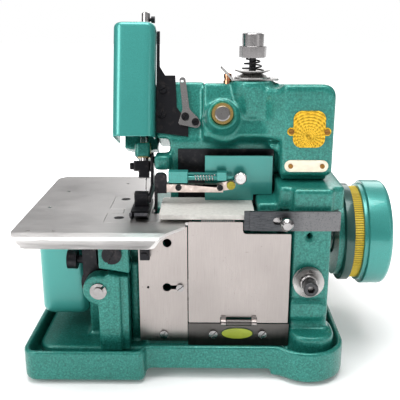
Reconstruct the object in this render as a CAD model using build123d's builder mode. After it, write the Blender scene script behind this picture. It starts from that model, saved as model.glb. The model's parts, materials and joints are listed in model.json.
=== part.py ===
from build123d import *
from math import cos, hypot, radians, sin, tan
import os

os.makedirs("parts", exist_ok=True)

# Portable three-thread overlock machine. Millimetres. X to the right, Y to the back, Z up.
# The origin is on the ground under the middle of the oil tray.

# ---------------------------------------------------------------- driving dimensions
slip = 0.05              # radial clearance of a shaft in its bush
gap = 0.4                # clearance between pieces that pass each other
seat = 0.3               # clearance of a flange beside its running neighbour

# oil tray
tray_left = -133.0
tray_margin = 8.5        # from the frame's foot flange out to the tray's outer face
tray_wall = 4.5
tray_floor = 14.0        # top of the tray's floor
tray_under = 9.0         # underside of the floor between the feet
tray_rim = 30.0
tray_half = 86.0         # half the depth of the tray between its feet
foot_out = 10.0          # how far a foot stands out in front of the tray
foot_inner = -32.0       # inner end of the left feet
lobe_radius = 31.0       # round right feet
rubber_height = 3.0
rubber_radius = 11.0

# frame
frame_left = -126.0
column_right = 120.0
column_width = 32.0
body_left = -84.0
body_front = -50.0
body_back = 70.0
column_front = -68.0
flange_top = 22.0
toe_top = 38.0
table_top = 133.0
table_thick = 2.5
block_height = 27.0      # frame's right shoulder above the table

# looper chamber
chamber_left = -34.0
chamber_right = column_right - 36.0
chamber_back = -22.0
plate_front = -72.0      # front face of the steel front plates
plate_thick = 1.2
seam_x = 2.5             # joint line between the fixed plate and the opening cover
cover_gap = 0.8
cover_low = 45.0         # lower edge of the opening cover
notch_left = 47.5        # the cover is cut down beside the latch
notch_drop = 10.0
cover_hinge_radius = 1.6
hinge_left = 30.5
hinge_right = 60.0

# main shaft, wheel and motor
shaft_y = -3.0
shaft_below_table = 30.0
shaft_radius = 8.0
bush_wall = 3.0
crank_x = 60.0
crank_throw = 6.0
crank_pin_radius = 4.0
wheel_radius = 47.0
wheel_x = column_right + 11.0
hub_radius = 17.0
groove_x = wheel_x + 13.7
belt_width = 7.5
belt_thick = 5.0
belt_radius = 41.0       # outer face of the belt on the handwheel
wheel_end = wheel_x + 46.0
motor_y = 112.0
motor_z = 77.0
motor_radius = 36.0
motor_left = 12.0
motor_right = column_right + 8.0
motor_shaft_radius = 4.0
motor_belt_radius = 15.5

# leaning sewing head; its own axes are along the needle bar and square to it
lean = 20.0
needle_x = -37.0
needle_y = -22.0
needle_off = 1.75        # needle beside and in front of the bar's axis
needle_ahead = 1.5
needle_shank = 0.8
bar_radius = 3.7
bar_high = 172.0
guide_screw_radius = 3.0 # thread guide screw near the bar's top
guide_screw_reach = 4.4  # how far it stands out of the bar
bearing_low = 42.0       # lower end of the needle bar's lower bearing
lever_height = 70.3      # rocker shaft above the table, along the needle bar
rocker_x = 30.6
rocker_radius = 6.2
rocker_bush_wall = 2.4
rocker_front = 55.0
boss_wall = 3.8
lever_right = 40.0       # rocker shaft to connecting rod
lever_rise = 7.0         # needle end of the lever above the rocker shaft at rest
arm_low = 55.0
arm_high = 101.0
arm_step = 15.0          # the arm's front is set back left of here
arm_front = 34.0
arm_back = -40.0
head_cover_width = 36.0
head_cover_low = 56.0
head_cover_high = 155.0
head_cover_front = 30.0
bearing_top_low = 134.0  # lower end of the needle bar's upper bearing
bearing_top_high = 146.0

# right block of the arm
block_left = column_right - 41.0
block_right = column_right + 2.0
block_front = -45.0
block_top = table_top + 107.5
block_corner = 4.0
block_round = 10.0       # rounded upper right corner
block_fall = 9.0         # slope of its top towards the back, degrees
presser_x = -28.0        # right face of the presser arm's hub
presser_y = -10.0
presser_z = table_top + 38.0
presser_radius = 3.0
column_left = -14.0
arm_column_front = -15.0
casting_wall = 4.0       # wall in front of the connecting rod
arm_column_back = 60.0

# looper rocker at the left front
eye_x = -70.0
eye_below_table = 56.0
eye_radius = 13.0
looper_shaft_radius = 3.8
bracket_front = -80.0
upper_pivot_x = 4.0
upper_pivot_z = 54.0
upper_shaft_radius = 4.0

# thread tensions
tension_x = 56.0
tension_y = -15.0
tension_base = block_top + 0.5
side_tension_x = column_right - 18.0
side_tension_z = 82.5

# ---------------------------------------------------------------- derived sizes
column_left_face = column_right - column_width
shoulder_left = column_left_face - 11.5
tray_right = column_right + tray_margin + 5.5
deck = table_top - table_thick
shoulder_top = table_top + block_height
shaft_z = table_top - shaft_below_table
eye_z = table_top - eye_below_table
cover_top = table_top + 1.0
cover_left = seam_x + cover_gap
cover_right = column_left_face - 1.5
groove_end = groove_x + belt_width + 2 * seat
groove_floor = belt_radius - belt_thick - seat
motor_groove_floor = motor_belt_radius - belt_thick - seat
lever_left = rocker_x - needle_x
arm_left = needle_x + head_cover_width / 2 - 7.2
hinge_y = plate_front - plate_thick - cover_hinge_radius
hinge_z = cover_low + cover_hinge_radius

tilt_sin = sin(radians(lean))
tilt_cos = cos(radians(lean))


def head(height=0.0):
    """Plane square to the needle bar, at a height along it: local x across, local y to the back."""
    origin = (needle_x, needle_y + height * tilt_sin, table_top + height * tilt_cos)
    return Plane(origin=origin, x_dir=(1, 0, 0), z_dir=(0, tilt_sin, tilt_cos))


def face(depth=0.0):
    """Leaning plane seen from the front, a depth in front of the needle bar: local x, then up it."""
    origin = (0, needle_y - depth * tilt_cos, table_top + depth * tilt_sin)
    return Plane(origin=origin, x_dir=(1, 0, 0), z_dir=(0, -tilt_cos, tilt_sin))


def front(y):
    """Upright plane facing the front: local x, then z."""
    return Plane.XZ.offset(-y)


def slab(x0, x1, y0, y1, z0, z1, radius=0.0, mode=Mode.ADD):
    """Upright block between limits, with its four vertical edges rounded."""
    sheet(Plane.XY.offset(z0), x0, x1, y0, y1, z1 - z0, radius, mode)


def sheet(plane, x0, x1, y0, y1, thickness, radius=0.0, mode=Mode.ADD):
    """Rectangle between limits on a plane, given a thickness."""
    with BuildSketch(plane) as outline:
        with Locations(((x0 + x1) / 2, (y0 + y1) / 2)):
            if radius > 0:
                RectangleRounded(x1 - x0, y1 - y0, radius)
            else:
                Rectangle(x1 - x0, y1 - y0)
    extrude(outline.sketch, amount=thickness, mode=mode)


def rod(plane, x, y, radius, length, mode=Mode.ADD):
    """Cylinder standing on a plane."""
    with BuildSketch(plane) as outline:
        with Locations((x, y)):
            Circle(radius)
    extrude(outline.sketch, amount=length, mode=mode)


def profile(plane, points, thickness, radius=0.0, mode=Mode.ADD):
    """Flat piece with a straight-sided outline, its corners rounded."""
    with BuildSketch(plane) as outline:
        with BuildLine():
            Polyline(*points, close=True)
        make_face()
        if radius > 0:
            fillet(outline.vertices(), radius)
    extrude(outline.sketch, amount=thickness, mode=mode)


def slotted_head(plane, x, y, radius, height, slot, angle=0.0):
    """Round screw head with a driver slot, standing on a plane."""
    with BuildSketch(plane) as outline:
        with Locations((x, y)):
            Circle(radius)
    extrude(outline.sketch, amount=height)
    with BuildSketch(plane.offset(height * 0.5)) as cut:
        with Locations(Location((x, y, 0), (0, 0, angle))):
            Rectangle(2.2 * radius, slot)
    extrude(cut.sketch, amount=height, mode=Mode.SUBTRACT)


def save(solid, name):
    """Label a finished piece and write it."""
    solid.label = name
    export_step(solid, f"parts/{name}.step")


# ---------------------------------------------------------------- tray and feet
def tray_plan(inset):
    """Tray outline: square feet at the left, round feet at the right, front and back alike."""
    lobe_x = tray_right - lobe_radius
    lobe_y = -tray_half + lobe_radius - foot_out - 1.0
    blend = 14.0
    reach = lobe_radius + blend
    blend_y = -tray_half - blend
    blend_x = lobe_x - (reach ** 2 - (lobe_y - blend_y) ** 2) ** 0.5
    share = blend / reach
    touch = (blend_x + (lobe_x - blend_x) * share, blend_y + (lobe_y - blend_y) * share)
    foot_y = -tray_half - foot_out
    with BuildSketch() as plan:
        with BuildLine():
            FilletPolyline(
                (tray_left, 0),
                (tray_left, foot_y),
                (foot_inner, foot_y),
                (foot_inner, -tray_half),
                (blend_x, -tray_half),
                radius=[12, 6, 3.5],
            )
            RadiusArc((blend_x, -tray_half), touch, blend)
            RadiusArc(touch, (tray_right, lobe_y), -lobe_radius)
            Line((tray_right, lobe_y), (tray_right, 0))
            mirror(about=Plane.XZ)
        make_face()
        if inset > 0:
            offset(amount=-inset, kind=Kind.INTERSECTION, mode=Mode.REPLACE)
    return plan.sketch


foot_spots = [
    (tray_left + 24, -tray_half + 8),
    (foot_inner - 22, -tray_half + 8),
    (tray_right - lobe_radius, -tray_half + lobe_radius - foot_out - 10),
    (tray_left + 24, tray_half - 8),
    (tray_right - lobe_radius, tray_half - lobe_radius + foot_out + 10),
]

outer_plan = tray_plan(0)
inner_plan = tray_plan(tray_wall)
with BuildPart() as base_tray:
    extrude(outer_plan.moved(Location((0, 0, tray_under))), amount=tray_rim - tray_under)
    for side in (-1, 1):
        near = side * (tray_half - 28)
        far = side * (tray_half + foot_out + 2)
        slab(tray_left, foot_inner, min(near, far), max(near, far), rubber_height, tray_floor)
        slab(
            tray_right - 2 * lobe_radius,
            tray_right,
            min(near, far),
            max(near, far),
            rubber_height,
            tray_floor,
        )
    extrude(outer_plan, amount=tray_rim, mode=Mode.INTERSECT)
    chamfer(base_tray.edges().group_by(Axis.Z)[0], 1.5)
    extrude(
        inner_plan.moved(Location((0, 0, tray_floor))),
        amount=tray_rim - tray_floor + 1,
        mode=Mode.SUBTRACT,
    )
    for x, y in foot_spots:
        rod(Plane.XY.offset(rubber_height - 1), x, y, rubber_radius, 3, Mode.SUBTRACT)
    fillet(base_tray.edges().group_by(Axis.Z)[-1], 1.2)
save(base_tray.part, "base_tray")

with BuildPart() as rubber_feet:
    for x, y in foot_spots:
        rod(Plane.XY, x, y, rubber_radius, rubber_height + 2)
    chamfer(rubber_feet.edges().group_by(Axis.Z)[0], 0.8)
save(rubber_feet.part, "rubber_feet")

# ---------------------------------------------------------------- main frame
cavity_front = -19.5
cavity_back = 34.0
toe_front = -tray_half + 0.5
toe_right = column_right + 5.5
post_left = eye_x - 1.0
post_right = -46.0
with BuildPart() as main_frame:
    slab(frame_left, column_right + 2, -73, 80, tray_floor, flange_top, 14)
    fillet(main_frame.edges().group_by(Axis.Z)[-1], 2)
    slab(column_left_face, toe_right, toe_front, -44, tray_floor, toe_top, 16)
    fillet(main_frame.edges().group_by(Axis.Z)[-1], 2)
    slab(body_left, column_left_face, body_front, body_back, flange_top - 4, deck)
    slab(post_right, chamber_left, -62, body_front + 1, flange_top - 4, eye_z + 18)
    slab(chamber_left, chamber_right + 8, column_front + 1, body_front + 1, flange_top - 4, 33)
    slab(column_left_face, column_right, column_front, body_back, flange_top - 4, shoulder_top)
    slab(
        shoulder_left,
        column_right + 10.5,
        -60,
        body_back,
        table_top + 7,
        shoulder_top,
        5,
    )
    fillet(main_frame.edges().group_by(Axis.Z)[-1].filter_by_position(Axis.Y, -61, -20), 2.5)
    slab(column_left_face - 28, column_left_face - 10, -56, -26, table_top + 1.5,
         table_top + 12, 1.5)
    # raised pad with a rounded right end, low on the column
    with BuildSketch(front(column_front)) as pad:
        with Locations((column_right - 16, 56)):
            SlotOverall(30, 16)
        with Locations((column_left_face + 8, 56)):
            Rectangle(16, 16)
    extrude(pad.sketch, amount=3)
    # looper chamber, open at the front and the top
    slab(chamber_left, chamber_right, column_front - 1, chamber_back, 33, table_top + 3,
         mode=Mode.SUBTRACT)
    # crank chamber, with a passage for the connecting rod through its roof
    slab(-20, chamber_right - 2, cavity_front, cavity_back, 66, deck - 10, 3, Mode.SUBTRACT)
    slab(crank_x - 4, chamber_right - 2, arm_column_front + casting_wall, 26, deck - 12, deck + 1,
         3, Mode.SUBTRACT)
    # well for the feed dog
    slab(-50, -27, body_front - 1, -6, deck - 18, deck + 1, mode=Mode.SUBTRACT)
    # lug behind the fixed front plate
    slab(chamber_left - 3, chamber_left + 3, plate_front + plate_thick, -61, 34, eye_z + 18)
    # space for the looper drive, open to the left under the side housing
    slab(body_left - 1, -46, -30, 56, 30, deck - 6, mode=Mode.SUBTRACT)
    # main shaft
    rod(Plane.YZ.offset(-36), shaft_y, shaft_z, shaft_radius + slip, 20, Mode.SUBTRACT)
    rod(Plane.YZ.offset(chamber_right - 4), shaft_y, shaft_z, shaft_radius + bush_wall, 60,
        Mode.SUBTRACT)
    # bearings of the two looper shafts
    rod(front(-28), eye_x, eye_z, looper_shaft_radius + slip, 24, Mode.SUBTRACT)
    rod(front(-8), upper_pivot_x, upper_pivot_z, upper_shaft_radius + slip, 30, Mode.SUBTRACT)
    # tapped accessory hole and side tension hole
    rod(front(column_front + 14), side_tension_x, table_top - 12.7, 2.6, 20, Mode.SUBTRACT)
    rod(front(column_front + 10), side_tension_x, side_tension_z, 2.5, 20, Mode.SUBTRACT)
save(main_frame.part, "main_frame")

with BuildPart() as left_housing:
    slab(frame_left, body_left, body_front, 60, 40, deck, 9)
    fillet(left_housing.edges().group_by(Axis.Z)[0], 8)
    slab(frame_left + 5, body_left + 1, body_front + 5, 55, 46, deck - 6, 3, Mode.SUBTRACT)
save(left_housing.part, "left_housing")

# ---------------------------------------------------------------- left bracket and its rocker
with BuildPart() as front_bracket:
    with BuildSketch(front(-66)) as post:
        with BuildLine():
            Polyline(
                (post_left, flange_top),
                (post_right, flange_top),
                (post_right, eye_z + 11),
                (eye_x + 9, eye_z + 15),
                (post_left, eye_z + 8),
                close=True,
            )
        make_face()
        with Locations((eye_x, eye_z)):
            Circle(eye_radius)
    extrude(post.sketch, amount=-bracket_front - 66)
    fillet(front_bracket.edges().group_by(Axis.Y)[0], 1.5)
    slab(post_right - 5, post_right, -67, body_front, flange_top, eye_z + 8)
    rod(front(-60), eye_x, eye_z, looper_shaft_radius + slip, 30, Mode.SUBTRACT)
    slab(-52.5, -45, bracket_front - 1, bracket_front + 3, flange_top - 1, eye_z + 12,
         mode=Mode.SUBTRACT)
save(front_bracket.part, "front_bracket")

with BuildPart() as table_bracket:
    low = eye_z + 15.5
    profile(
        front(-62),
        [(-69.5, low + 3), (-62, low + 2), (-44.6, low - 1), (-44.6, deck), (-69.5, deck)],
        16,
    )
    fillet(table_bracket.edges().group_by(Axis.Y)[0], 1.2)
save(table_bracket.part, "table_bracket")

rocker_front_y = -64.0
rocker_back_y = -54.0
arm_top = eye_z + 31
clamp_z = eye_z + 19.5
clamp_y = (rocker_front_y + rocker_back_y) / 2
with BuildPart() as looper_rocker:
    rod(front(rocker_back_y), eye_x, eye_z, 17, rocker_back_y - rocker_front_y)
    profile(
        front(rocker_back_y),
        [
            (eye_x - 15, eye_z + 4),
            (eye_x - 3, eye_z + 12),
            (eye_x - 3.5, arm_top),
            (eye_x - 15, arm_top),
        ],
        rocker_back_y - rocker_front_y,
        1.5,
    )
    rod(front(rocker_back_y + 1), eye_x, eye_z, looper_shaft_radius, 12, Mode.SUBTRACT)
    # clamp screw
    rod(Plane.YZ.offset(eye_x - 20), clamp_y, clamp_z, 3.4, 5)
    slotted_head(Plane(origin=(eye_x - 20, 0, 0), x_dir=(0, -1, 0), z_dir=(-1, 0, 0)),
                 -clamp_y, clamp_z, 8, 8, 1.6, 90)
save(looper_rocker.part, "looper_rocker")

with BuildPart() as looper_shaft:
    rod(front(-27), eye_x, eye_z, looper_shaft_radius, 56)
    with BuildSketch(front(bracket_front - 0.4)) as clip:
        with Locations((eye_x, eye_z)):
            Circle(6.9)
            Circle(looper_shaft_radius, mode=Mode.SUBTRACT)
        with Locations(Location((eye_x, eye_z, 0), (0, 0, 45))):
            with Locations((6, 0)):
                Rectangle(6, 2, mode=Mode.SUBTRACT)
    extrude(clip.sketch, amount=1.1)
save(looper_shaft.part, "looper_shaft")

looper_reach = 50.0
with BuildPart() as lower_looper:
    with BuildSketch(front(clamp_y + 1.5)) as blade:
        with Locations((eye_x, eye_z)):
            Circle(looper_reach)
            Circle(looper_reach - 4.5, mode=Mode.SUBTRACT)
        with BuildLine():
            Polyline((eye_x, eye_z), (eye_x - 14, eye_z + 60), (eye_x + 40, eye_z + 60), close=True)
        make_face(mode=Mode.INTERSECT)
        with BuildLine():
            Polyline(
                (eye_x - 13.5, arm_top),
                (eye_x - 6, arm_top),
                (eye_x - 6, eye_z + looper_reach - 2),
                (eye_x - 11, eye_z + looper_reach - 3),
                close=True,
            )
        make_face()
    extrude(blade.sketch, amount=3)
save(lower_looper.part, "lower_looper")

# ---------------------------------------------------------------- cloth table and needle plate
table_front = -108.0
table_right = 1.0
table_back = 78.0
plate_left = -65.0
tab_front = -34.0
tab_back = 6.0
bar_front = -70.0
bar_back = -47.0
bar_right = 6.0
tab_right = -28.0


def needle_plate_plan(spare):
    """Steel throat plate: a bar at the front and a tab at the back, joined at the right."""
    with BuildSketch() as plan:
        for x0, x1, y0, y1 in (
            (plate_left, bar_right, bar_front, bar_back),
            (plate_left, tab_right, tab_front, tab_back),
            (-52, tab_right, bar_back - 1, tab_front + 1),
        ):
            with Locations(((x0 + x1) / 2, (y0 + y1) / 2)):
                Rectangle(x1 - x0 + 2 * spare, y1 - y0 + 2 * spare)
    return plan.sketch


lip = 9.0
with BuildPart() as cloth_table:
    with BuildSketch(Plane.YZ.offset(tray_left)) as section:
        with BuildLine():
            Polyline(
                (table_back, deck),
                (table_back, table_top),
                (table_front + 12, table_top),
                (table_front + 4, table_top - 2),
                (table_front, table_top - lip),
                (table_front + 2.2, table_top - lip),
                (table_front + 5.5, table_top - 4.2),
                (table_front + 12.5, deck),
                close=True,
            )
        make_face()
    extrude(section.sketch, amount=table_right - tray_left)
    fillet(cloth_table.edges().filter_by(Axis.X).filter_by_position(Axis.Y, table_front + 3,
                                                                    table_front + 13), 5)
    with BuildSketch(Plane.XY.offset(deck - 20)) as plan:
        with BuildLine():
            Polyline(
                (tray_left, table_back),
                (tray_left, table_front),
                (-22, table_front),
                (table_right, -80),
                (table_right, table_back),
                close=True,
            )
        make_face()
        fillet(plan.vertices().sort_by(Axis.Y)[:2], 16)
        fillet(plan.vertices().sort_by(Axis.Y)[-2:], 12)
    extrude(plan.sketch, amount=40, mode=Mode.INTERSECT)
    extrude(needle_plate_plan(0.3).moved(Location((0, 0, deck - 2))), amount=8, mode=Mode.SUBTRACT)
    slab(tab_right - 1, table_right + 1, bar_back - 1, table_back + 1, deck - 1, table_top + 1,
         mode=Mode.SUBTRACT)
    for x, y in ((-120, -92), (-100, -92), (-118, -30), (-112, 20), (-60, 50)):
        rod(Plane.XY.offset(deck - 1), x, y, 1.6, 6, Mode.SUBTRACT)
save(cloth_table.part, "cloth_table")

plate_screws = [(-55.0, -4.0), (-54.0, -58.0)]
feed_slots = (-45.0, -38.5, -32.0)
feed_y0 = -44.0
feed_y1 = -10.0
with BuildPart() as needle_plate:
    extrude(needle_plate_plan(0).moved(Location((0, 0, deck))), amount=table_thick)
    for x, y in plate_screws:
        rod(Plane.XY.offset(deck - 1), x, y, 4.2, 6, Mode.SUBTRACT)
    for x in feed_slots:
        slab(x - 1.6, x + 1.6, feed_y0, feed_y1, deck - 1, table_top + 1, mode=Mode.SUBTRACT)
    slab(needle_x + needle_off - 1, needle_x + needle_off + 1, needle_y - 5, needle_y + 0.5,
         deck - 1, table_top + 1, mode=Mode.SUBTRACT)
save(needle_plate.part, "needle_plate")

# ---------------------------------------------------------------- feed dog
feed_play = 2.5
with BuildPart() as feed_dog:
    for x in feed_slots:
        slab(x - 1.2, x + 1.2, feed_y0 + feed_play + 0.5, feed_y1 - feed_play - 0.5, deck - 4,
             table_top + 0.1)
        for step in range(9):
            notch_y = feed_y0 + feed_play + 2.5 + 3.1 * step
            slab(x - 2, x + 2, notch_y, notch_y + 1.2, table_top - 0.8, table_top + 1,
                 mode=Mode.SUBTRACT)
    slab(feed_slots[0] - 1.2, feed_slots[-1] + 1.2, feed_y0 + feed_play + 3, needle_y - 9.5,
         deck - 8, deck - 3)
save(feed_dog.part, "feed_dog")

# ---------------------------------------------------------------- front plates
plate_bottom = 24.0
with BuildPart() as left_front_plate:
    sheet(front(plate_front + plate_thick), -37.5, seam_x, plate_bottom + 4, table_top - 3,
          plate_thick, 1.0)
    rod(front(plate_front + 3), -13.8, table_top - 17, 3.6, 6, Mode.SUBTRACT)
    with BuildSketch(front(plate_front + 3)) as keyhole:
        with Locations((-14.4, eye_z)):
            Circle(3.6)
        with Locations((-8, eye_z)):
            Rectangle(14, 3.4)
    extrude(keyhole.sketch, amount=6, mode=Mode.SUBTRACT)
    rod(front(plate_front + 3), -30, eye_z, 1.0, 6, Mode.SUBTRACT)
save(left_front_plate.part, "left_front_plate")

with BuildPart() as hinge_plate:
    with BuildSketch(front(plate_front + plate_thick)) as strip:
        with BuildLine():
            Polyline(
                (seam_x + 0.4, plate_bottom),
                (cover_right + 1, plate_bottom),
                (cover_right + 1, cover_low - 1),
                (hinge_right - 4, cover_low - 1),
                (hinge_right - 4, cover_low + 0.6),
                (hinge_left + 4, cover_low + 0.6),
                (hinge_left + 4, cover_low - 1),
                (seam_x + 0.4, cover_low - 1),
                close=True,
            )
        make_face()
    extrude(strip.sketch, amount=plate_thick)
    slab(seam_x + 0.4, cover_right - 4, plate_front + plate_thick, column_front + 1,
         plate_bottom, 40)
    with BuildSketch(Plane.YZ.offset(hinge_left + 4.5)) as knuckle:
        with Locations((hinge_y, hinge_z)):
            Circle(cover_hinge_radius + 1.2)
            Circle(cover_hinge_radius, mode=Mode.SUBTRACT)
    extrude(knuckle.sketch, amount=hinge_right - hinge_left - 9)
    slab(hinge_left + 4.5, hinge_right - 4.5, plate_front - plate_thick - 1.4, plate_front,
         cover_low - 3.2, cover_low - 1.0)
    # hinge pin, held in the fixed knuckle
    rod(Plane.YZ.offset(hinge_left), hinge_y, hinge_z, cover_hinge_radius,
        hinge_right - hinge_left)
save(hinge_plate.part, "hinge_plate")

with BuildPart() as looper_cover:
    with BuildSketch(front(plate_front + plate_thick)) as door:
        with BuildLine():
            FilletPolyline(
                (cover_left, cover_top),
                (notch_left, cover_top),
                (notch_left, cover_top - notch_drop),
                (cover_right, cover_top - notch_drop),
                (cover_right, cover_low),
                (hinge_right + 0.5, cover_low),
                (hinge_right + 0.5, hinge_z + 3.5),
                (hinge_left - 0.5, hinge_z + 3.5),
                (hinge_left - 0.5, cover_low),
                (cover_left, cover_low),
                radius=[1, 1, 3, 1, 0.8, 0.4, 0.4, 0.4, 0.4, 0.8],
                close=True,
            )
        make_face()
    extrude(door.sketch, amount=plate_thick)
    # rolled hinge ears at both ends of the fixed knuckle
    for x in (hinge_left, hinge_right - 4):
        with BuildSketch(Plane.YZ.offset(x)) as ear:
            with Locations((hinge_y, hinge_z)):
                Circle(cover_hinge_radius + 1.2)
            with BuildLine():
                Polyline(
                    (hinge_y, hinge_z),
                    (hinge_y + cover_hinge_radius + 1.2, hinge_z),
                    (plate_front + 0.2, hinge_z + 5),
                    (plate_front - 1.2, hinge_z + 5),
                    close=True,
                )
            make_face()
            with Locations((hinge_y, hinge_z)):
                Circle(cover_hinge_radius + slip, mode=Mode.SUBTRACT)
        extrude(ear.sketch, amount=4)
save(looper_cover.part, "looper_cover")

# ---------------------------------------------------------------- latch
latch_y = plate_front - 4.0
latch_low = table_top - 5.0
latch_high = table_top + 11.0
slot_left = 71.0
knob_x = 81.0
knob_z = table_top + 3.2
latch_left = notch_left + 5.0
latch_stroke = 6.5
guide_bar_right = 57.0
with BuildPart() as latch_bar:
    sheet(front(latch_y + 3), latch_left, column_right + 4.5, latch_low, latch_high, 3, 1)
    slab(column_left_face + 1, column_right - 1, latch_y + 2.9, column_front, latch_low + 1,
         table_top + 6.5)
    slab(notch_left + 0.6, latch_left + 1, latch_y + 1.4, latch_y + 2.8, latch_low, latch_high)
    with BuildSketch(front(latch_y + 4)) as track:
        with Locations(((slot_left + knob_x + 3) / 2, knob_z)):
            SlotOverall(knob_x + 3 - slot_left, 6)
    extrude(track.sketch, amount=6, mode=Mode.SUBTRACT)
save(latch_bar.part, "latch_bar")

with BuildPart() as latch_knob:
    sheet(front(latch_y + 3 + gap + 1.4), guide_bar_right + latch_stroke + 1.5, knob_x + 5,
          latch_low + 2, latch_high - 2, 1.2, 1)
    rod(front(latch_y + 3.2 + gap), knob_x, knob_z, 2.6, 3.4 + 2 * gap)
    with BuildSketch(Plane(origin=(knob_x, latch_y - gap, knob_z), x_dir=(1, 0, 0),
                           z_dir=(0, 0, 1))) as half:
        with BuildLine():
            Polyline((0, -12.6), (0, 0), (4.4, 0), (4.4, -5.2), (5.6, -7.6), (5.3, -10))
            Line((5.3, -10), (3.2, -12.6))
            Line((3.2, -12.6), (0, -12.6))
        make_face()
    revolve(half.sketch, axis=Axis((knob_x, 0, knob_z), (0, 1, 0)))
save(latch_knob.part, "latch_knob")

# ---------------------------------------------------------------- main shaft, wheel, motor
with BuildPart() as main_shaft:
    rod(Plane.YZ.offset(-33), shaft_y, shaft_z, shaft_radius, wheel_end - 2 + 33)
    for x, radius in ((-6, 13.0), (20, 14.0), (crank_x - 6, 15.0)):
        rod(Plane.YZ.offset(x), shaft_y, shaft_z, radius, 6)
    # the crank's gap for the rod, between the web and the right bearing
    rod(Plane.YZ.offset(crank_x), shaft_y, shaft_z, 30, 16, Mode.SUBTRACT)
    rod(Plane.YZ.offset(crank_x), shaft_y, shaft_z + crank_throw, crank_pin_radius, 4)
    rod(Plane.YZ.offset(crank_x + 4), shaft_y, shaft_z + crank_throw, 2.2, 12.5)
save(main_shaft.part, "main_shaft")

with BuildPart() as shaft_bush:
    rod(Plane.YZ.offset(chamber_right - 4), shaft_y, shaft_z, shaft_radius + bush_wall,
        column_right + 3 - chamber_right + 4)
    rod(Plane.YZ.offset(column_right), shaft_y, shaft_z, shaft_radius + bush_wall + 4, 3)
    rod(Plane.YZ.offset(chamber_right - 5), shaft_y, shaft_z, shaft_radius + slip, 60,
        Mode.SUBTRACT)
save(shaft_bush.part, "shaft_bush")

with BuildPart() as handwheel:
    with BuildSketch(Plane(origin=(0, shaft_y, shaft_z), x_dir=(1, 0, 0), z_dir=(0, -1, 0))) as rim:
        with BuildLine():
            FilletPolyline(
                (wheel_x, shaft_radius),
                (wheel_x, hub_radius),
                (wheel_x + 6, hub_radius),
                (wheel_x + 6, wheel_radius - 3),
                (groove_x, wheel_radius - 3),
                (groove_x, groove_floor),
                (groove_end, groove_floor),
                (groove_end, wheel_radius - 3),
                (groove_end + 3.5, wheel_radius - 3),
                (groove_end + 3.5, wheel_radius),
                (wheel_end, wheel_radius),
                (wheel_end, wheel_radius - 9),
                (wheel_end - 9, wheel_radius - 14),
                (wheel_end - 9, 18),
                (wheel_end - 3, 16),
                (wheel_end - 3, shaft_radius),
                radius=[0.6, 2.5, 1.2, 0.5, 0.4, 0.4, 0.5, 0.8, 0.8, 5, 2.5, 3, 2.5, 1.5],
            )
            Line((wheel_end - 3, shaft_radius), (wheel_x, shaft_radius))
        make_face()
    revolve(rim.sketch, axis=Axis((0, shaft_y, shaft_z), (1, 0, 0)))
save(handwheel.part, "handwheel")

with BuildPart() as wheel_seal:
    rod(Plane.YZ.offset(wheel_x + 1), shaft_y, shaft_z, wheel_radius - 8, 4.9)
    rod(Plane.YZ.offset(wheel_x), shaft_y, shaft_z, hub_radius + 2.7, 7, Mode.SUBTRACT)
save(wheel_seal.part, "wheel_seal")

with BuildPart() as drive_belt:
    with BuildSketch(Plane.YZ.offset(groove_x + seat)) as loop:
        for y, z, radius in ((shaft_y, shaft_z, belt_radius), (motor_y, motor_z, motor_belt_radius)):
            with Locations((y, z)):
                Circle(radius)
        make_hull()
        with BuildSketch(mode=Mode.SUBTRACT):
            for y, z, radius in (
                (shaft_y, shaft_z, belt_radius - belt_thick),
                (motor_y, motor_z, motor_belt_radius - belt_thick),
            ):
                with Locations((y, z)):
                    Circle(radius)
            make_hull()
    extrude(loop.sketch, amount=belt_width)
save(drive_belt.part, "drive_belt")

with BuildPart() as motor_rotor:
    rod(Plane.YZ.offset(motor_right - 14), motor_y, motor_z, motor_shaft_radius, 46)
    with BuildSketch(Plane(origin=(0, motor_y, motor_z), x_dir=(1, 0, 0), z_dir=(0, -1, 0))) as vee:
        with BuildLine():
            Polyline(
                (groove_x - 4, 0),
                (groove_x - 4, motor_belt_radius + 1),
                (groove_x, motor_belt_radius + 1),
                (groove_x, motor_groove_floor),
                (groove_end, motor_groove_floor),
                (groove_end, motor_belt_radius + 1),
                (groove_end + 3, motor_belt_radius + 1),
                (groove_end + 3, 0),
                close=True,
            )
        make_face()
    revolve(vee.sketch, axis=Axis((0, motor_y, motor_z), (1, 0, 0)))
save(motor_rotor.part, "motor_rotor")

shelf_z = tray_rim + 3.0
shelf_thick = 5.0
shelf_left = 38.0
shelf_right = 102.0
with BuildPart() as motor:
    rod(Plane.YZ.offset(motor_left), motor_y, motor_z, motor_radius, motor_right - motor_left)
    fillet(motor.edges().filter_by(GeomType.CIRCLE), 6)
    rod(Plane.YZ.offset(motor_right - 1), motor_y, motor_z, 14, 5)
    slab(shelf_left + 6, shelf_right - 6, motor_y - 24, motor_y + 24, shelf_z + shelf_thick,
         motor_z - 20)
    rod(Plane.XY.offset(motor_z + 20), motor_left + 24, motor_y, 7, motor_radius - 12)
    rod(Plane.YZ.offset(motor_right - 16), motor_y, motor_z, motor_shaft_radius + slip, 30,
        Mode.SUBTRACT)
save(motor.part, "motor")

with BuildPart() as motor_bracket:
    slab(shelf_left, shelf_right, body_back, body_back + shelf_thick, shelf_z, shaft_z)
    slab(shelf_left, shelf_right, body_back, motor_y + 28, shelf_z, shelf_z + shelf_thick)
    fillet(motor_bracket.edges().filter_by(Axis.Z).group_by(Axis.Y)[-1], 6)
    for x in (shelf_left + 10, shelf_right - 10):
        rod(front(body_back + 6), x, shaft_z - 12, 3.2, 8, Mode.SUBTRACT)
save(motor_bracket.part, "motor_bracket")

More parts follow.
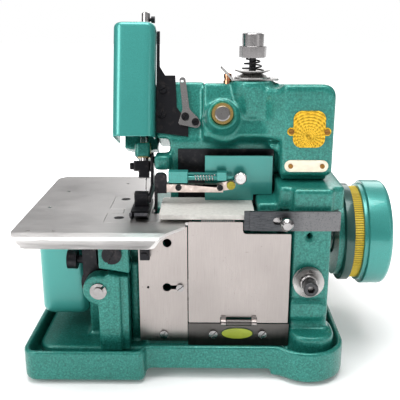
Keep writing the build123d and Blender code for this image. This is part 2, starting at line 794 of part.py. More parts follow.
# ---------------------------------------------------------------- upper arm casting
lever_plane_back = -6.0
lever_plane_front = 6.0
block_side = 4.0         # right side of the needle bar's driving block
tongue_gap = 1.5         # open pivot between the lever's tongue and that block
tension_boss_radius = 18.0
inner_corner = 9.0
inner_corner_z = block_top - 53.5
with BuildPart() as upper_arm:
    # rear column and right block
    slab(column_left, shoulder_left, arm_column_front, arm_column_back, deck, shoulder_top + 31)
    slab(shoulder_left - 1, block_right - 4, arm_column_front, arm_column_back, shoulder_top,
         shoulder_top + 34)
    slab(column_left_face - 8, block_right - 4, block_front + 6, arm_column_back, shoulder_top,
         shoulder_top + 8)
    block_depth = arm_column_back - block_front
    with BuildSketch(front(arm_column_back)) as block:
        with BuildLine():
            FilletPolyline(
                (block_left, shoulder_top + 5),
                (block_right, shoulder_top + 5),
                (block_right, block_top),
                (block_left, block_top),
                radius=[1, block_corner, block_round, 2],
                close=True,
            )
        make_face()
    extrude(block.sketch, amount=block_depth)
    profile(
        Plane.YZ.offset(block_left - 1),
        [
            (block_front + 12, block_top + 0.5),
            (arm_column_back + 1, block_top + 0.5 - (block_depth - 11) * tan(radians(block_fall))),
            (arm_column_back + 1, block_top + 2),
            (block_front + 12, block_top + 2),
        ],
        block_right - block_left + 2,
        mode=Mode.SUBTRACT,
    )
    fillet(upper_arm.faces().sort_by(Axis.Y)[0].outer_wire().edges(), block_corner - 0.5)
    # leaning arm
    sheet(face(arm_back), arm_step, block_right - 22, arm_low, arm_high, arm_front - arm_back)
    sheet(face(arm_back), arm_left, arm_step + 1, arm_low + 2.5, arm_high + 6.5, 12 - arm_back)
    # flank that carries the arm out to the front of the right block
    with BuildSketch(Plane.XY.offset(block_top - 46)) as flank:
        with BuildLine():
            Polyline(
                (block_left - 20, arm_column_front - 12),
                (block_left + 1, block_front + 1.5),
                (block_left + 1, arm_column_front),
                (block_left - 20, arm_column_front),
                close=True,
            )
        make_face()
    extrude(flank.sketch, amount=42)
    # rounded inner corner between the arm's underside and the block
    with BuildSketch(front(arm_column_front)) as corner:
        with BuildLine():
            Polyline(
                (block_left + 1, inner_corner_z - inner_corner),
                (block_left + 1, inner_corner_z + 4),
                (block_left - inner_corner, inner_corner_z + 4),
                (block_left - inner_corner, inner_corner_z),
                (block_left - inner_corner * 0.3, inner_corner_z - inner_corner * 0.3),
                close=True,
            )
        make_face()
    extrude(corner.sketch, amount=arm_column_front - block_front - 8)
    # swelling round the rocker shaft
    rod(face(arm_back), rocker_x, lever_height, 20, 12 - arm_back)
    rod(face(11), rocker_x + 2.5, lever_height, 19.2, arm_front - 11)
    with BuildSketch(face(arm_front - 1)) as root:
        with Locations((rocker_x, lever_height)):
            Circle(rocker_radius + rocker_bush_wall + boss_wall + 2.4)
    extrude(root.sketch, amount=rocker_front - arm_front - 1, taper=7)
    # flat seat under the top tension
    rod(Plane.XY.offset(tension_base - 29), tension_x, tension_y, tension_boss_radius, 29)
    # casting boss beside the needle bar, bored for the presser arm's shaft
    slab(presser_x + 0.5, column_left + 1, arm_column_front - 8, arm_column_front + 12,
         table_top + 31, table_top + 44, 3)
    rod(Plane.YZ.offset(presser_x - 1), presser_y, presser_z, presser_radius + slip, 16,
        Mode.SUBTRACT)
    # hollow for the needle lever, open to the head
    sheet(face(-24), arm_left - 1, chamber_right, lever_height - 10.3, arm_high - 8, 24 + 10,
          mode=Mode.SUBTRACT)
    # hollow for the connecting rod
    slab(crank_x - 4, chamber_right + 4, arm_column_front + casting_wall, 26, deck - 1,
         tension_base - 19, 3, Mode.SUBTRACT)
    # rocker shaft
    rod(face(arm_back - 1), rocker_x, lever_height, rocker_radius + rocker_bush_wall, 110,
        Mode.SUBTRACT)
    # tension post
    rod(Plane.XY.offset(tension_base - 20), tension_x, tension_y, 3.0, 30, Mode.SUBTRACT)
save(upper_arm.part, "upper_arm")

with BuildPart() as inner_guard:
    slab(column_left + 7, shoulder_left - 0.5, arm_column_front - 1.5, arm_column_front,
         table_top + 0.5, table_top + 49)
save(inner_guard.part, "inner_guard")

with BuildPart() as rocker_bush:
    for low, high in ((arm_back, -24.0), (10.0, rocker_front - 0.2)):
        rod(face(low), rocker_x, lever_height, rocker_radius + rocker_bush_wall, high - low)
        rod(face(low - 1), rocker_x, lever_height, rocker_radius + slip, high - low + 2,
            Mode.SUBTRACT)
save(rocker_bush.part, "rocker_bush")

with BuildPart() as rocker_shaft:
    rod(face(arm_back), rocker_x, lever_height, rocker_radius, rocker_front - arm_back + 0.8)
    chamfer(rocker_shaft.edges().group_by(Axis.Y)[0], 0.8)
save(rocker_shaft.part, "rocker_shaft")

rod_pin_radius = 4.0
rod_x = rocker_x + lever_right
lever_drop = lever_rise * lever_right / lever_left
with BuildPart() as needle_lever:
    with BuildSketch(face(lever_plane_back)) as beam:
        with BuildLine():
            Polyline(
                (needle_x + 9, lever_height + lever_rise - 3.2),
                (rocker_x - 6, lever_height - 8),
                (rocker_x + 6, lever_height - 8),
                (rod_x, lever_height - lever_drop - 4),
                (rod_x, lever_height - lever_drop + 4),
                (rocker_x + 6, lever_height + 8),
                (rocker_x - 6, lever_height + 8),
                (needle_x + 9, lever_height + lever_rise + 3.2),
                close=True,
            )
        make_face()
        with Locations((rocker_x, lever_height)):
            Circle(rocker_radius + 3.6)
        with Locations((rod_x, lever_height - lever_drop)):
            Circle(6)
    extrude(beam.sketch, amount=lever_plane_front - lever_plane_back)
    rod(face(lever_plane_back - 1), rocker_x, lever_height, rocker_radius, 14, Mode.SUBTRACT)
    # slotted fork tongue at the needle bar
    sheet(face(-2), needle_x + block_side + tongue_gap, needle_x + 10, lever_height + lever_rise - 3.2,
          lever_height + lever_rise + 3.2, 4)
    rod(face(lever_plane_back - 1), rod_x, lever_height - lever_drop, rod_pin_radius + slip, 14,
        Mode.SUBTRACT)
save(needle_lever.part, "needle_lever")

rod_pin_height = lever_height - lever_drop
rod_top_y = needle_y + rod_pin_height * tilt_sin + 8.5
rod_top_z = table_top + rod_pin_height * tilt_cos - 3
rod_low_y = shaft_y + 9.5
rod_low_z = shaft_z + crank_throw + 10
rod_run = hypot(rod_top_y - rod_low_y, rod_top_z - rod_low_z)
with BuildPart() as connecting_rod:
    rod(face(lever_plane_back - 5), rod_x, rod_pin_height, rod_pin_radius, 15.5)
    rod(face(lever_plane_back - 5), rod_x, rod_pin_height, rod_pin_radius + 3, 4.4)
    strap = Plane(
        origin=(rod_x, rod_top_y, rod_top_z),
        x_dir=(1, 0, 0),
        z_dir=(0, rod_low_y - rod_top_y, rod_low_z - rod_top_z),
    )
    with BuildSketch(strap) as bar:
        RectangleRounded(8, 4, 1.5)
    extrude(bar.sketch, amount=rod_run)
save(connecting_rod.part, "connecting_rod")

# ---------------------------------------------------------------- sewing head
with BuildPart() as head_casing:
    back = 12.0
    sheet(head(head_cover_low - 4), -19, arm_left - needle_x, back, 34, 86)
    # lower and upper needle bar bearings
    for low, high in ((bearing_low, head_cover_low - 2), (bearing_top_low, bearing_top_high)):
        sheet(head(low), -bar_radius - 4.3, bar_radius + 1.7, -9.5, 34, high - low, 4)
    slope = head_cover_low - 2
    sheet(head(slope - 3), -15, arm_left - needle_x, back, 34, 6)
    rod(head(30), 0, 0, bar_radius + 2.0, 130, Mode.SUBTRACT)
save(head_casing.part, "head_casing")

with BuildPart() as bar_bushes:
    for low, high in (
        (bearing_low - 0.5, head_cover_low - 1.5),
        (bearing_top_low - 0.5, bearing_top_high + 0.5),
    ):
        rod(head(low), 0, 0, bar_radius + 2.0, high - low)
        rod(head(low - 1), 0, 0, bar_radius + slip, high - low + 2, Mode.SUBTRACT)
save(bar_bushes.part, "bar_bushes")

with BuildPart() as head_cover:
    half_width = head_cover_width / 2
    centre_x = -7.2
    skin = 1.8
    left_x = centre_x - half_width
    right_x = centre_x + half_width
    sheet(head(head_cover_low), left_x, right_x, -head_cover_front, 12 - gap,
          head_cover_high - head_cover_low)
    fillet(head_cover.edges().group_by(SortBy.LENGTH)[-1].sort_by(Axis.Y)[:2], 8)
    fillet(head_cover.faces().sort_by(Axis.Z)[-1].edges(), 4)
    sheet(head(head_cover_low - 1), left_x + skin, right_x - skin, -head_cover_front + skin,
          12 + 1, head_cover_high - head_cover_low + 1 - skin, 4, Mode.SUBTRACT)
    # side opening for the needle lever, top hole for the needle bar and its guide screw
    sheet(head(head_cover_low - 1), right_x - skin - 1, right_x + 1, -12, 14, 36,
          mode=Mode.SUBTRACT)
    rod(head(head_cover_high - 6), 0, 0, bar_radius + 2.2, 12, Mode.SUBTRACT)
    sheet(head(head_cover_high - 6), 0, bar_radius + guide_screw_reach + gap, -guide_screw_radius - gap,
          guide_screw_radius + gap, 12, mode=Mode.SUBTRACT)
save(head_cover.part, "head_cover")

with BuildPart() as head_side_plate:
    left_edge = needle_x + right_x + gap
    profile(
        face(12),
        [
            (left_edge, 62),
            (2, 58.5),
            (2, 70),
            (-8, 84),
            (-9.5, 112),
            (left_edge + 7.5, 112),
            (left_edge + 2.6, 120),
            (left_edge + 2.6, 151),
            (left_edge, 151),
        ],
        1.8,
    )
    slotted_head(face(13.8), needle_x + 17, 99.5, 3.2, 1.4, 0.9, 30)
    slotted_head(face(13.8), needle_x + 16.2, 78, 3.2, 1.4, 0.9, 70)
save(head_side_plate.part, "head_side_plate")

with BuildPart() as thread_guide:
    with BuildSketch(face(13.8)) as stamping:
        with BuildLine():
            FilletPolyline(
                (-6.0, 72),
                (-7.0, 69),
                (9.5, 65.5),
                (13.5, 69),
                (10, 75),
                (3, 82),
                (1.2, 96),
                (-0.8, 110),
                (-6.2, 110),
                (-4.4, 96),
                (-3.0, 82),
                radius=[4, 2, 3, 3, 3, 8, 8, 2.4, 2.4, 8, 8],
                close=True,
            )
        make_face()
        with Locations((-3.5, 106.5)):
            Circle(1.3, mode=Mode.SUBTRACT)
    extrude(stamping.sketch, amount=1.4)
    slotted_head(face(15.2), -0.6, 75.5, 3.4, 1.8, 0.9, 60)
    slotted_head(face(15.2), 8.2, 70.8, 3.2, 1.8, 0.9, 20)
save(thread_guide.part, "thread_guide")

drive_height = lever_height + lever_rise
clamp_high = 38.5
clamp_low = 24.0
with BuildPart() as needle_bar:
    rod(head(clamp_high - 4), 0, 0, bar_radius, bar_high - clamp_high + 4)
    chamfer(needle_bar.edges().group_by(Axis.Z)[-1], 0.6)
    # driving block, reached by the lever's tongue
    sheet(head(drive_height - 7), -6, block_side, -6, 6, 14, 1.5)
    rod(head(drive_height - 8), 0, 0, bar_radius, 16)
save(needle_bar.part, "needle_bar")

guide_height = 166.0
guide_y = needle_y + guide_height * tilt_sin
guide_z = table_top + guide_height * tilt_cos
with BuildPart() as needle_clamp:
    sheet(head(clamp_high - 8.5), -9, bar_radius + 1.8, -5.2, 5.2, 8.5, 1.5)
    sheet(head(clamp_low), -4.6, 4.6, -5.2, 4.5, 7, 1.5)
    screw_y = needle_y + (clamp_high - 4.2) * tilt_sin
    screw_z = table_top + (clamp_high - 4.2) * tilt_cos
    slotted_head(Plane(origin=(needle_x - 9, 0, 0), x_dir=(0, -1, 0), z_dir=(-1, 0, 0)),
                 -screw_y, screw_z, 3.2, 3.5, 0.8, 70)
    rod(head(clamp_low - 4), needle_off, -needle_ahead, needle_shank, 20, Mode.SUBTRACT)
    rod(head(clamp_high - 4), 0, 0, bar_radius, 10, Mode.SUBTRACT)
    # thread guide screw at the top of the bar
    rod(Plane.YZ.offset(needle_x + bar_radius - 0.4), guide_y, guide_z, 1.6, 2)
    rod(Plane.YZ.offset(needle_x + bar_radius + 1.2), guide_y, guide_z, guide_screw_radius,
        guide_screw_reach - 1.2)
    rod(head(clamp_high + 100), 0, 0, bar_radius, 60, Mode.SUBTRACT)
save(needle_clamp.part, "needle_clamp")

needle_tip = 3.0
with BuildPart() as needle:
    rod(head(clamp_low - 2), needle_off, -needle_ahead, needle_shank,
        clamp_high - 4.2 - clamp_low + 2)
    rod(head(needle_tip + 3), needle_off, -needle_ahead, 0.5, clamp_low - 2 - needle_tip - 3)
    with BuildSketch(head(needle_tip + 3)) as tip:
        with Locations((needle_off, -needle_ahead)):
            Circle(0.5)
    extrude(tip.sketch, amount=-3, taper=7)
save(needle.part, "needle")

# ---------------------------------------------------------------- presser foot
foot_left = -44.0
foot_right = -29.5
hub_left = presser_x - 3.0
arm_outer = presser_x - 0.5
with BuildPart() as presser_foot:
    profile(
        Plane.YZ.offset(foot_left),
        [
            (-71, table_top + 5.5),
            (-62, table_top + seat),
            (-12.5, table_top + seat),
            (-12.5, table_top + 3),
            (-58, table_top + 3.4),
            (-69, table_top + 7.5),
        ],
        foot_right - foot_left,
    )
    slab(needle_x + needle_off - 2, needle_x + needle_off + 2, needle_y - 14, -13.5,
         table_top - 1, table_top + 6, mode=Mode.SUBTRACT)
    slab(foot_left + 2, foot_left + 4, -72, -50, table_top - 1, table_top + 9,
         mode=Mode.SUBTRACT)
    slab(foot_left + 1.5, foot_right - 1.5, -46, -37, table_top + 3, table_top + 17, 1)
    slab(foot_left, foot_right, -60, -38, table_top + 3, table_top + 6, 1)
save(presser_foot.part, "presser_foot")

with BuildPart() as presser_arm:
    rod(Plane.YZ.offset(hub_left), presser_y, presser_z, presser_radius, 16.5)
    rod(Plane.YZ.offset(hub_left), presser_y, presser_z, 6.5, arm_outer - hub_left)
    profile(
        Plane.YZ.offset(hub_left),
        [
            (presser_y - 6, presser_z + 1),
            (presser_y - 9, table_top + 18),
            (-46, table_top + 15),
            (-46, table_top + 9),
            (presser_y - 1, table_top + 9),
            (presser_y + 6, table_top + 16),
            (presser_y + 6.2, presser_z - 1),
        ],
        arm_outer - hub_left,
    )
    slab(foot_right - 1.5, arm_outer, -45, -38, table_top + 9, table_top + 15)
save(presser_arm.part, "presser_arm")

# ---------------------------------------------------------------- knives
knife_z = table_top + 23.0
knife_pivot_x = 38.5
bar_left = -9.0
bar_end = 32.0
knife_front = -42.0
knife_back = -35.0
knife_x = -25.8
holder_right = bar_left - 6.5
with BuildPart() as knife_arm:
    sheet(front(knife_back - 1), holder_right - 1, bar_end, knife_z - 6, knife_z + 1, 5)
    profile(
        front(knife_back - 1),
        [(bar_end - 6, knife_z - 6), (knife_pivot_x, knife_z - 4), (knife_pivot_x, knife_z + 4),
         (bar_end - 6, knife_z + 1)],
        3,
    )
    rod(front(knife_back - 1), knife_pivot_x, knife_z, 4, 3)
    rod(front(knife_back), knife_pivot_x, knife_z, 2.0 + slip, 12, Mode.SUBTRACT)
    for x in (bar_left + 3.4, bar_end - 2.7):
        slotted_head(front(knife_back - 6), x, knife_z - 1.8, 2.6, 1.6, 0.8, 30)
    # blade holder with a round top
    with BuildSketch(front(knife_back)) as holder:
        with Locations(((knife_x + holder_right) / 2, knife_z - 1)):
            Rectangle(holder_right - knife_x, 12)
        with Locations(((knife_x + holder_right) / 2, knife_z + 5)):
            RectangleRounded(holder_right - knife_x, 10, 4)
    extrude(holder.sketch, amount=knife_back - knife_front - 1)
    # blade
    slab(knife_x, knife_x + 2.2, knife_front - 1, knife_back - 1, table_top + 1, knife_z - 3)
save(knife_arm.part, "knife_arm")

with BuildPart() as lower_knife:
    slab(tab_right + gap, knife_x - 0.2, knife_front - 2, knife_back, deck - 24, table_top)
    slab(tab_right - 5, knife_x + 4, knife_front + 3, body_front + 19, deck - 24, deck - 12)
    # its clamp block, in front of the fixed plate
    slab(-35.5, -27.5, plate_front - 8, plate_front, eye_z + 27, eye_z + 38, 1)
    rod(front(plate_front - 7.8), -31.5, eye_z + 31, 2.6, 1.6)
save(lower_knife.part, "lower_knife")

with BuildPart() as upper_looper:
    rod(front(-9), upper_pivot_x, upper_pivot_z, upper_shaft_radius, 47)
    with BuildSketch(front(-49)) as swan:
        with Locations((upper_pivot_x, upper_pivot_z)):
            Circle(8)
        with BuildLine():
            Polyline(
                (upper_pivot_x - 7, upper_pivot_z),
                (upper_pivot_x + 6, upper_pivot_z),
                (upper_pivot_x - 8, upper_pivot_z + 40),
                (upper_pivot_x - 24, deck - 6),
                (upper_pivot_x - 27, deck - 7),
                (upper_pivot_x - 14, upper_pivot_z + 38),
                close=True,
            )
        make_face()
    extrude(swan.sketch, amount=4)
save(upper_looper.part, "upper_looper")

# ---------------------------------------------------------------- plates behind the knives
with BuildPart() as guide_bar:
    bar_top = table_top + 7
    slab(-20, guide_bar_right, -72, -21.5, bar_top - 4, bar_top, 3)
    slab(0, 55, -22, arm_column_front - 2, deck, bar_top - 4)
save(guide_bar.part, "guide_bar")

guard_y = -30.0
thumb_x = 46.5
thumb_z = table_top + 29.5
with BuildPart() as guard_plate:
    sheet(front(guard_y + 2), 16.6, 74, table_top + 12.2, table_top + 46, 2)
    slab(16.6, 58, guard_y, guard_y + 2, bar_top, table_top + 13)
    rod(front(guard_y + 3), thumb_x, thumb_z, 2.0 + slip, 6, Mode.SUBTRACT)
    rod(front(guard_y), knife_pivot_x, knife_z, 2.0, 10)
    rod(front(guard_y - 9.4), knife_pivot_x, knife_z, 3.6, 2.2)
save(guard_plate.part, "guard_plate")

with BuildPart() as thumb_screw:
    rod(front(guard_y + 1), thumb_x, thumb_z, 2.0, 9)
    rod(front(guard_y - gap), thumb_x, thumb_z, 3.2, 6)
    with BuildSketch(front(guard_y - 6)) as grip:
        with Locations((thumb_x, thumb_z)):
            Circle(5.2)
        with Locations((thumb_x, thumb_z)):
            with PolarLocations(5.3, 18):
                Circle(0.4, mode=Mode.SUBTRACT)
    extrude(grip.sketch, amount=8)
    chamfer(thumb_screw.edges().group_by(Axis.Y)[0], 0.8)
save(thumb_screw.part, "thumb_screw")

spring_y = -38.5
spring_z = knife_z + 6.2
with BuildPart() as spring_rod:
    rod(Plane.YZ.offset(bar_left + 1), spring_y, spring_z, 1.3, 48)
    slab(bar_left - 5, 2.4, spring_y - 4, spring_y + 4, knife_z + 2.5, knife_z + 12, 1)
    slab(26.5, 35, spring_y - 4, spring_y + 4, knife_z + 4.6, knife_z + 11.5, 1)
    slab(2, 27, spring_y + 3.2, guard_y - 2, spring_z - 3, spring_z + 3)
save(spring_rod.part, "spring_rod")


def coil(plane, radius, length, turns, wire, cone=0.0):
    """Compression spring standing on a plane."""
    with BuildLine() as turn:
        Helix(pitch=length / turns, height=length, radius=radius, center=plane.origin,
              direction=plane.z_dir, cone_angle=cone)
    start = turn.line @ 0
    with BuildSketch(Plane(origin=start, z_dir=turn.line % 0)) as section:
        Circle(wire)
    sweep(section.sketch, path=turn.line, is_frenet=True)


with BuildPart() as knife_spring:
    coil(Plane(origin=(8.2, spring_y, spring_z), x_dir=(0, 1, 0), z_dir=(1, 0, 0)), 2.4, 16.5, 7,
         0.45)
save(knife_spring.part, "knife_spring")

# ---------------------------------------------------------------- top tension
post_radius = 2.9
nut_low = tension_base + 18.5
nut_mid = tension_base + 27.6
nut_top = tension_base + 38.0
strip_top = tension_base + 1.4
with BuildPart() as tension_bracket:
    with BuildSketch(front(tension_y + 8)) as bend:
        with BuildLine():
            Polyline(
                (tension_x + 22, tension_base),
                (tension_x + 22, strip_top),
                (tension_x - 16.4, strip_top),
                (tension_x - 25.6, strip_top + 9.5),
                (tension_x - 26.6, strip_top + 8.5),
                (tension_x - 17, tension_base),
                close=True,
            )
        make_face()
    extrude(bend.sketch, amount=16)
    fillet(tension_bracket.edges().filter_by(Axis.Z).group_by(Axis.X)[-1], 4)
    rod(Plane.XY.offset(tension_base - 1), tension_x, tension_y, post_radius + 0.1, 4,
        Mode.SUBTRACT)
    rod(Plane.XY.offset(tension_base - 1), tension_x - 22.5, tension_y, 1.5, 14, Mode.SUBTRACT)
save(tension_bracket.part, "tension_bracket")


def tension_discs(axis_plane, radius, hub, dish):
    """Two dished discs back to back on a post; the plane stands on the post's axis."""
    with BuildSketch(axis_plane) as dished:
        for low, edge in ((0.0, 0.0), (1.4, dish)):
            with BuildLine():
                Polyline(
                    (hub, low + 1.2),
                    (radius * 0.55, low + 1.2),
                    (radius, low + 1.2 - dish + 2 * edge),
                    (radius, low + 0.2 - dish + 2 * edge),
                    (radius * 0.55, low),
                    (hub, low),
                    close=True,
                )
            make_face()
    return dished.sketch


with BuildPart() as top_discs:
    half = Plane(origin=(tension_x, tension_y, strip_top + 2.4), x_dir=(1, 0, 0), z_dir=(0, -1, 0))
    revolve(tension_discs(half, 15, post_radius + 0.1, 2.2),
            axis=Axis((tension_x, tension_y, 0), (0, 0, 1)))
save(top_discs.part, "top_discs")

with BuildPart() as top_post:
    rod(Plane.XY.offset(tension_base - 19), tension_x, tension_y, post_radius, 53)
    rod(Plane.XY.offset(strip_top), tension_x, tension_y, 6.5, 2.4)
save(top_post.part, "top_post")

with BuildPart() as top_spring:
    coil(Plane.XY.offset(strip_top + 6.2).move(Location((tension_x, tension_y, 0))), 9.0,
         nut_low - strip_top - 7.2, 2.4, 0.7, -22)
save(top_spring.part, "top_spring")

with BuildPart() as top_nut:
    with BuildSketch(Plane.XY.offset(nut_low)) as flats:
        with Locations((tension_x, tension_y)):
            RegularPolygon(11.4, 10)
    extrude(flats.sketch, amount=nut_mid - nut_low)
    rod(Plane.XY.offset(nut_mid), tension_x, tension_y, 8.8, nut_top - nut_mid)
    chamfer(top_nut.edges().group_by(Axis.Z)[-1], 0.7)
    sheet(Plane.XY.offset(nut_top - 3.5), tension_x - 10, tension_x + 10, tension_y - 1.3,
          tension_y + 1.3, 5, mode=Mode.SUBTRACT)
    rod(Plane.XY.offset(nut_low - 1), tension_x, tension_y, post_radius + slip,
        nut_top - nut_low - 3, Mode.SUBTRACT)
save(top_nut.part, "top_nut")

# ---------------------------------------------------------------- side tension
side_post_radius = 2.4
side_disc_radius = 12.6
side_nut_back = column_front - 10.0
with BuildPart() as side_post:
    rod(front(column_front + 9.5), side_tension_x, side_tension_z, side_post_radius, 25)
    rod(front(column_front), side_tension_x, side_tension_z, 5, 1.6)
save(side_post.part, "side_post")

with BuildPart() as side_discs:
    half = Plane(origin=(side_tension_x, column_front - 3, side_tension_z), x_dir=(1, 0, 0),
                 z_dir=(0, 0, 1))
    turned = tension_discs(half, side_disc_radius, side_post_radius + 0.1, 1.4)
    revolve(mirror(turned, Plane(origin=half.origin, z_dir=(0, 1, 0))),
            axis=Axis((side_tension_x, 0, side_tension_z), (0, 1, 0)))
save(side_discs.part, "side_discs")

with BuildPart() as side_spring:
    coil(Plane(origin=(side_tension_x, column_front - 6.4, side_tension_z), x_dir=(1, 0, 0),
               z_dir=(0, -1, 0)), 6.3, 3.2, 2.2, 0.6)
save(side_spring.part, "side_spring")

with BuildPart() as side_nut:
    rod(front(side_nut_back - 0.6), side_tension_x, side_tension_z, 5.9, 9.4)
    chamfer(side_nut.edges().group_by(Axis.Y)[0], 0.7)
    rod(front(side_nut_back + 1), side_tension_x, side_tension_z, side_post_radius + slip, 7.5,
        Mode.SUBTRACT)
    with BuildSketch(front(side_nut_back - 6)) as socket:
        with Locations((side_tension_x, side_tension_z)):
            RegularPolygon(3.2, 6)
    extrude(socket.sketch, amount=6, mode=Mode.SUBTRACT)
save(side_nut.part, "side_nut")

# ---------------------------------------------------------------- name plates and screws
badge_x = column_right - 19.0
badge_z = block_top - 36.0
plate_x = column_right - 20.0
plate_z = shoulder_top + 14.0
with BuildPart() as name_plates:
    with BuildSketch(front(block_front)) as plaque:
        with Locations((badge_x, badge_z)):
            RectangleRounded(26, 30, 7)
        with Locations((badge_x - 14.4, badge_z - 2), (badge_x + 14.4, badge_z - 2)):
            Circle(3.4)
        with Locations((badge_x, badge_z - 2)):
            Rectangle(28, 4)
    extrude(plaque.sketch, amount=1.0)
    with BuildSketch(front(block_front - 1)) as field:
        with Locations((badge_x, badge_z)):
            RectangleRounded(22, 26, 5)
            RectangleRounded(19, 23, 4, mode=Mode.SUBTRACT)
    extrude(field.sketch, amount=0.5)
    with BuildSketch(front(block_front)) as stadium:
        with Locations((plate_x, plate_z)):
            SlotOverall(36, 10)
    extrude(stadium.sketch, amount=0.8)
save(name_plates.part, "name_plates")

with BuildPart() as frame_screws:
    for x, y in plate_screws:
        slotted_head(Plane.XY.offset(deck), x, y, 4.15, table_thick - 0.1, 1.2, 35)
    slotted_head(front(bracket_front + 2), -58, eye_z + 31.6, 8, 3, 1.6, 60)
    slotted_head(front(plate_front), -17.6, 34, 3.7, 2, 1.1, 70)
    slotted_head(front(plate_front), -3.6, eye_z, 3.2, 2, 1.0, 40)
    for x in (24.0, 65.3):
        slotted_head(front(plate_front), x, 34.8, 3.6, 2.2, 1.0, 50)
    for x in (badge_x - 14.4, badge_x + 14.4):
        slotted_head(front(block_front - 1), x, badge_z - 2, 2.3, 1.2, 0.7, 20)
    for x in (plate_x - 13, plate_x + 13):
        rod(front(block_front - 0.8), x, plate_z, 2.0, 0.9)
save(frame_screws.part, "frame_screws")
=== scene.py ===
import json
import math

import bmesh
import bpy
from bpy.props import (
    FloatProperty,
    FloatVectorProperty,
    IntProperty,
    PointerProperty,
)
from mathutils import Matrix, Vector


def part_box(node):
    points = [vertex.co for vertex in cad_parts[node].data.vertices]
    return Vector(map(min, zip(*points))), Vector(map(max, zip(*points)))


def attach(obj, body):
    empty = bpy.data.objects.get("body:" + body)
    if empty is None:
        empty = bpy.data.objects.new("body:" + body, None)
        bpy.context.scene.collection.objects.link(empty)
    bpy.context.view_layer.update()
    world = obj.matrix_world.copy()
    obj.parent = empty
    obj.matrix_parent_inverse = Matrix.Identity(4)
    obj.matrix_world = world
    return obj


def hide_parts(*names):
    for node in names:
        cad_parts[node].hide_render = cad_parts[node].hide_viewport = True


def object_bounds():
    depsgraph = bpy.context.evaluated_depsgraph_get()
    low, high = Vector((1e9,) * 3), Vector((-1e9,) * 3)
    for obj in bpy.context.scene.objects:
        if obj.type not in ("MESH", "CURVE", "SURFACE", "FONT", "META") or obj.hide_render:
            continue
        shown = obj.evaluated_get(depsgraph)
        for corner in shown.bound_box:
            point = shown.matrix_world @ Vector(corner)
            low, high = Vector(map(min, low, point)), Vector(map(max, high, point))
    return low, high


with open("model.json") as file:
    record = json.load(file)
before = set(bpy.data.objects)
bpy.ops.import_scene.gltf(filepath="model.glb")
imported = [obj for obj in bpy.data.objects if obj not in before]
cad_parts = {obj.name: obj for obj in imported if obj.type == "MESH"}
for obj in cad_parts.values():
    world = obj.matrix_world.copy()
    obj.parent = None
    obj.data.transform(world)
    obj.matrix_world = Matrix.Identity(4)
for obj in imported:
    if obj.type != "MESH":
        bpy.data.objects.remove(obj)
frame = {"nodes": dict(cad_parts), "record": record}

bl_info = {
    "name": "Overlock machine finish",
    "version": (1, 0, 0),
    "blender": (4, 5, 0),
    "location": "3D View > Sidebar > Overlock",
    "description": "Dresses the packed overlock machine with castings, plates and finishes",
    "category": "Object",
}

NODES = frame["nodes"]
CAD_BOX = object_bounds()
BODY_OF = {
    node: body
    for body, nodes in frame["record"]["behaviour"]["bodies"].items()
    for node in nodes
}
LEAN = math.radians(20)                         # lean of the sewing head
UP_BAR = Vector((0, math.sin(LEAN), math.cos(LEAN)))
OUT_FRONT = Vector((0, -math.cos(LEAN), math.sin(LEAN)))
NEEDLE_FOOT = Vector((-0.037, -0.022, 0.133))   # the needle bar's axis at table height
AXIS_AT = {
    joint["name"]: Vector(joint["pos_m"])
    for joint in frame["record"]["behaviour"]["joints"]
    if "pos_m" in joint
}
ARM_SHOULDER = (0.076, 0.086)    # x over which the arm's block starts to fall to the back
ARM_BROW = (0.060, 0.012)        # depth below the block's top over which the fall fades in
ARM_FALL = 0.11                  # drop of the block's top per length to the back
ARM_LIP = 0.010                  # part of the block's front that stays level
KNIFE_JOINT = -0.0155            # x where the knife holder meets its bar
LABEL_RISE = 0.0112              # middle of the label above the hinge plate's lower edge
STRIP_START = 0.0145
STRIP_LENGTH = 0.0255
OIL_CAP = (0.0725, 0.0995, 0.030)    # right of, above and in front of the needle's foot
CIRCLE_STEPS = 64


# ---------------------------------------------------------------- settings
class FinishSettings(bpy.types.PropertyGroup):
    """Colours and grain of the machine's finishes."""

    enamel: FloatVectorProperty(
        name="Hammered enamel",
        description="Base colour of the hammered enamel on the castings",
        default=(0.012, 0.185, 0.150), subtype="COLOR", size=3, min=0, max=1)
    # painted highlight colour for the raised marks of the hammered enamel
    enamel_highlight: FloatVectorProperty(
        name="Hammered enamel painted highlights",
        description="Colour of the painted highlights on the hammered enamel",
        default=(0.09, 0.43, 0.37), subtype="COLOR", size=3, min=0, max=1)
    cover: FloatVectorProperty(
        name="Cover enamel",
        description="Colour of the smooth enamel on covers and the handwheel",
        default=(0.035, 0.275, 0.245), subtype="COLOR", size=3, min=0, max=1)
    # darkened for the front-facing plates: painted shade
    plate: FloatVectorProperty(
        name="Plate steel",
        description="Colour of the brushed steel plates",
        default=(0.405, 0.366, 0.350), subtype="COLOR", size=3, min=0, max=1)
    belt: FloatVectorProperty(
        name="Belt",
        description="Colour of the drive belt",
        default=(0.72, 0.52, 0.03), subtype="COLOR", size=3, min=0, max=1)
    hammer_size: FloatProperty(
        name="Hammer mark size",
        description="Width of one mark in the hammered enamel",
        default=0.0013, min=0.0003, max=0.01, subtype="DISTANCE", unit="LENGTH")


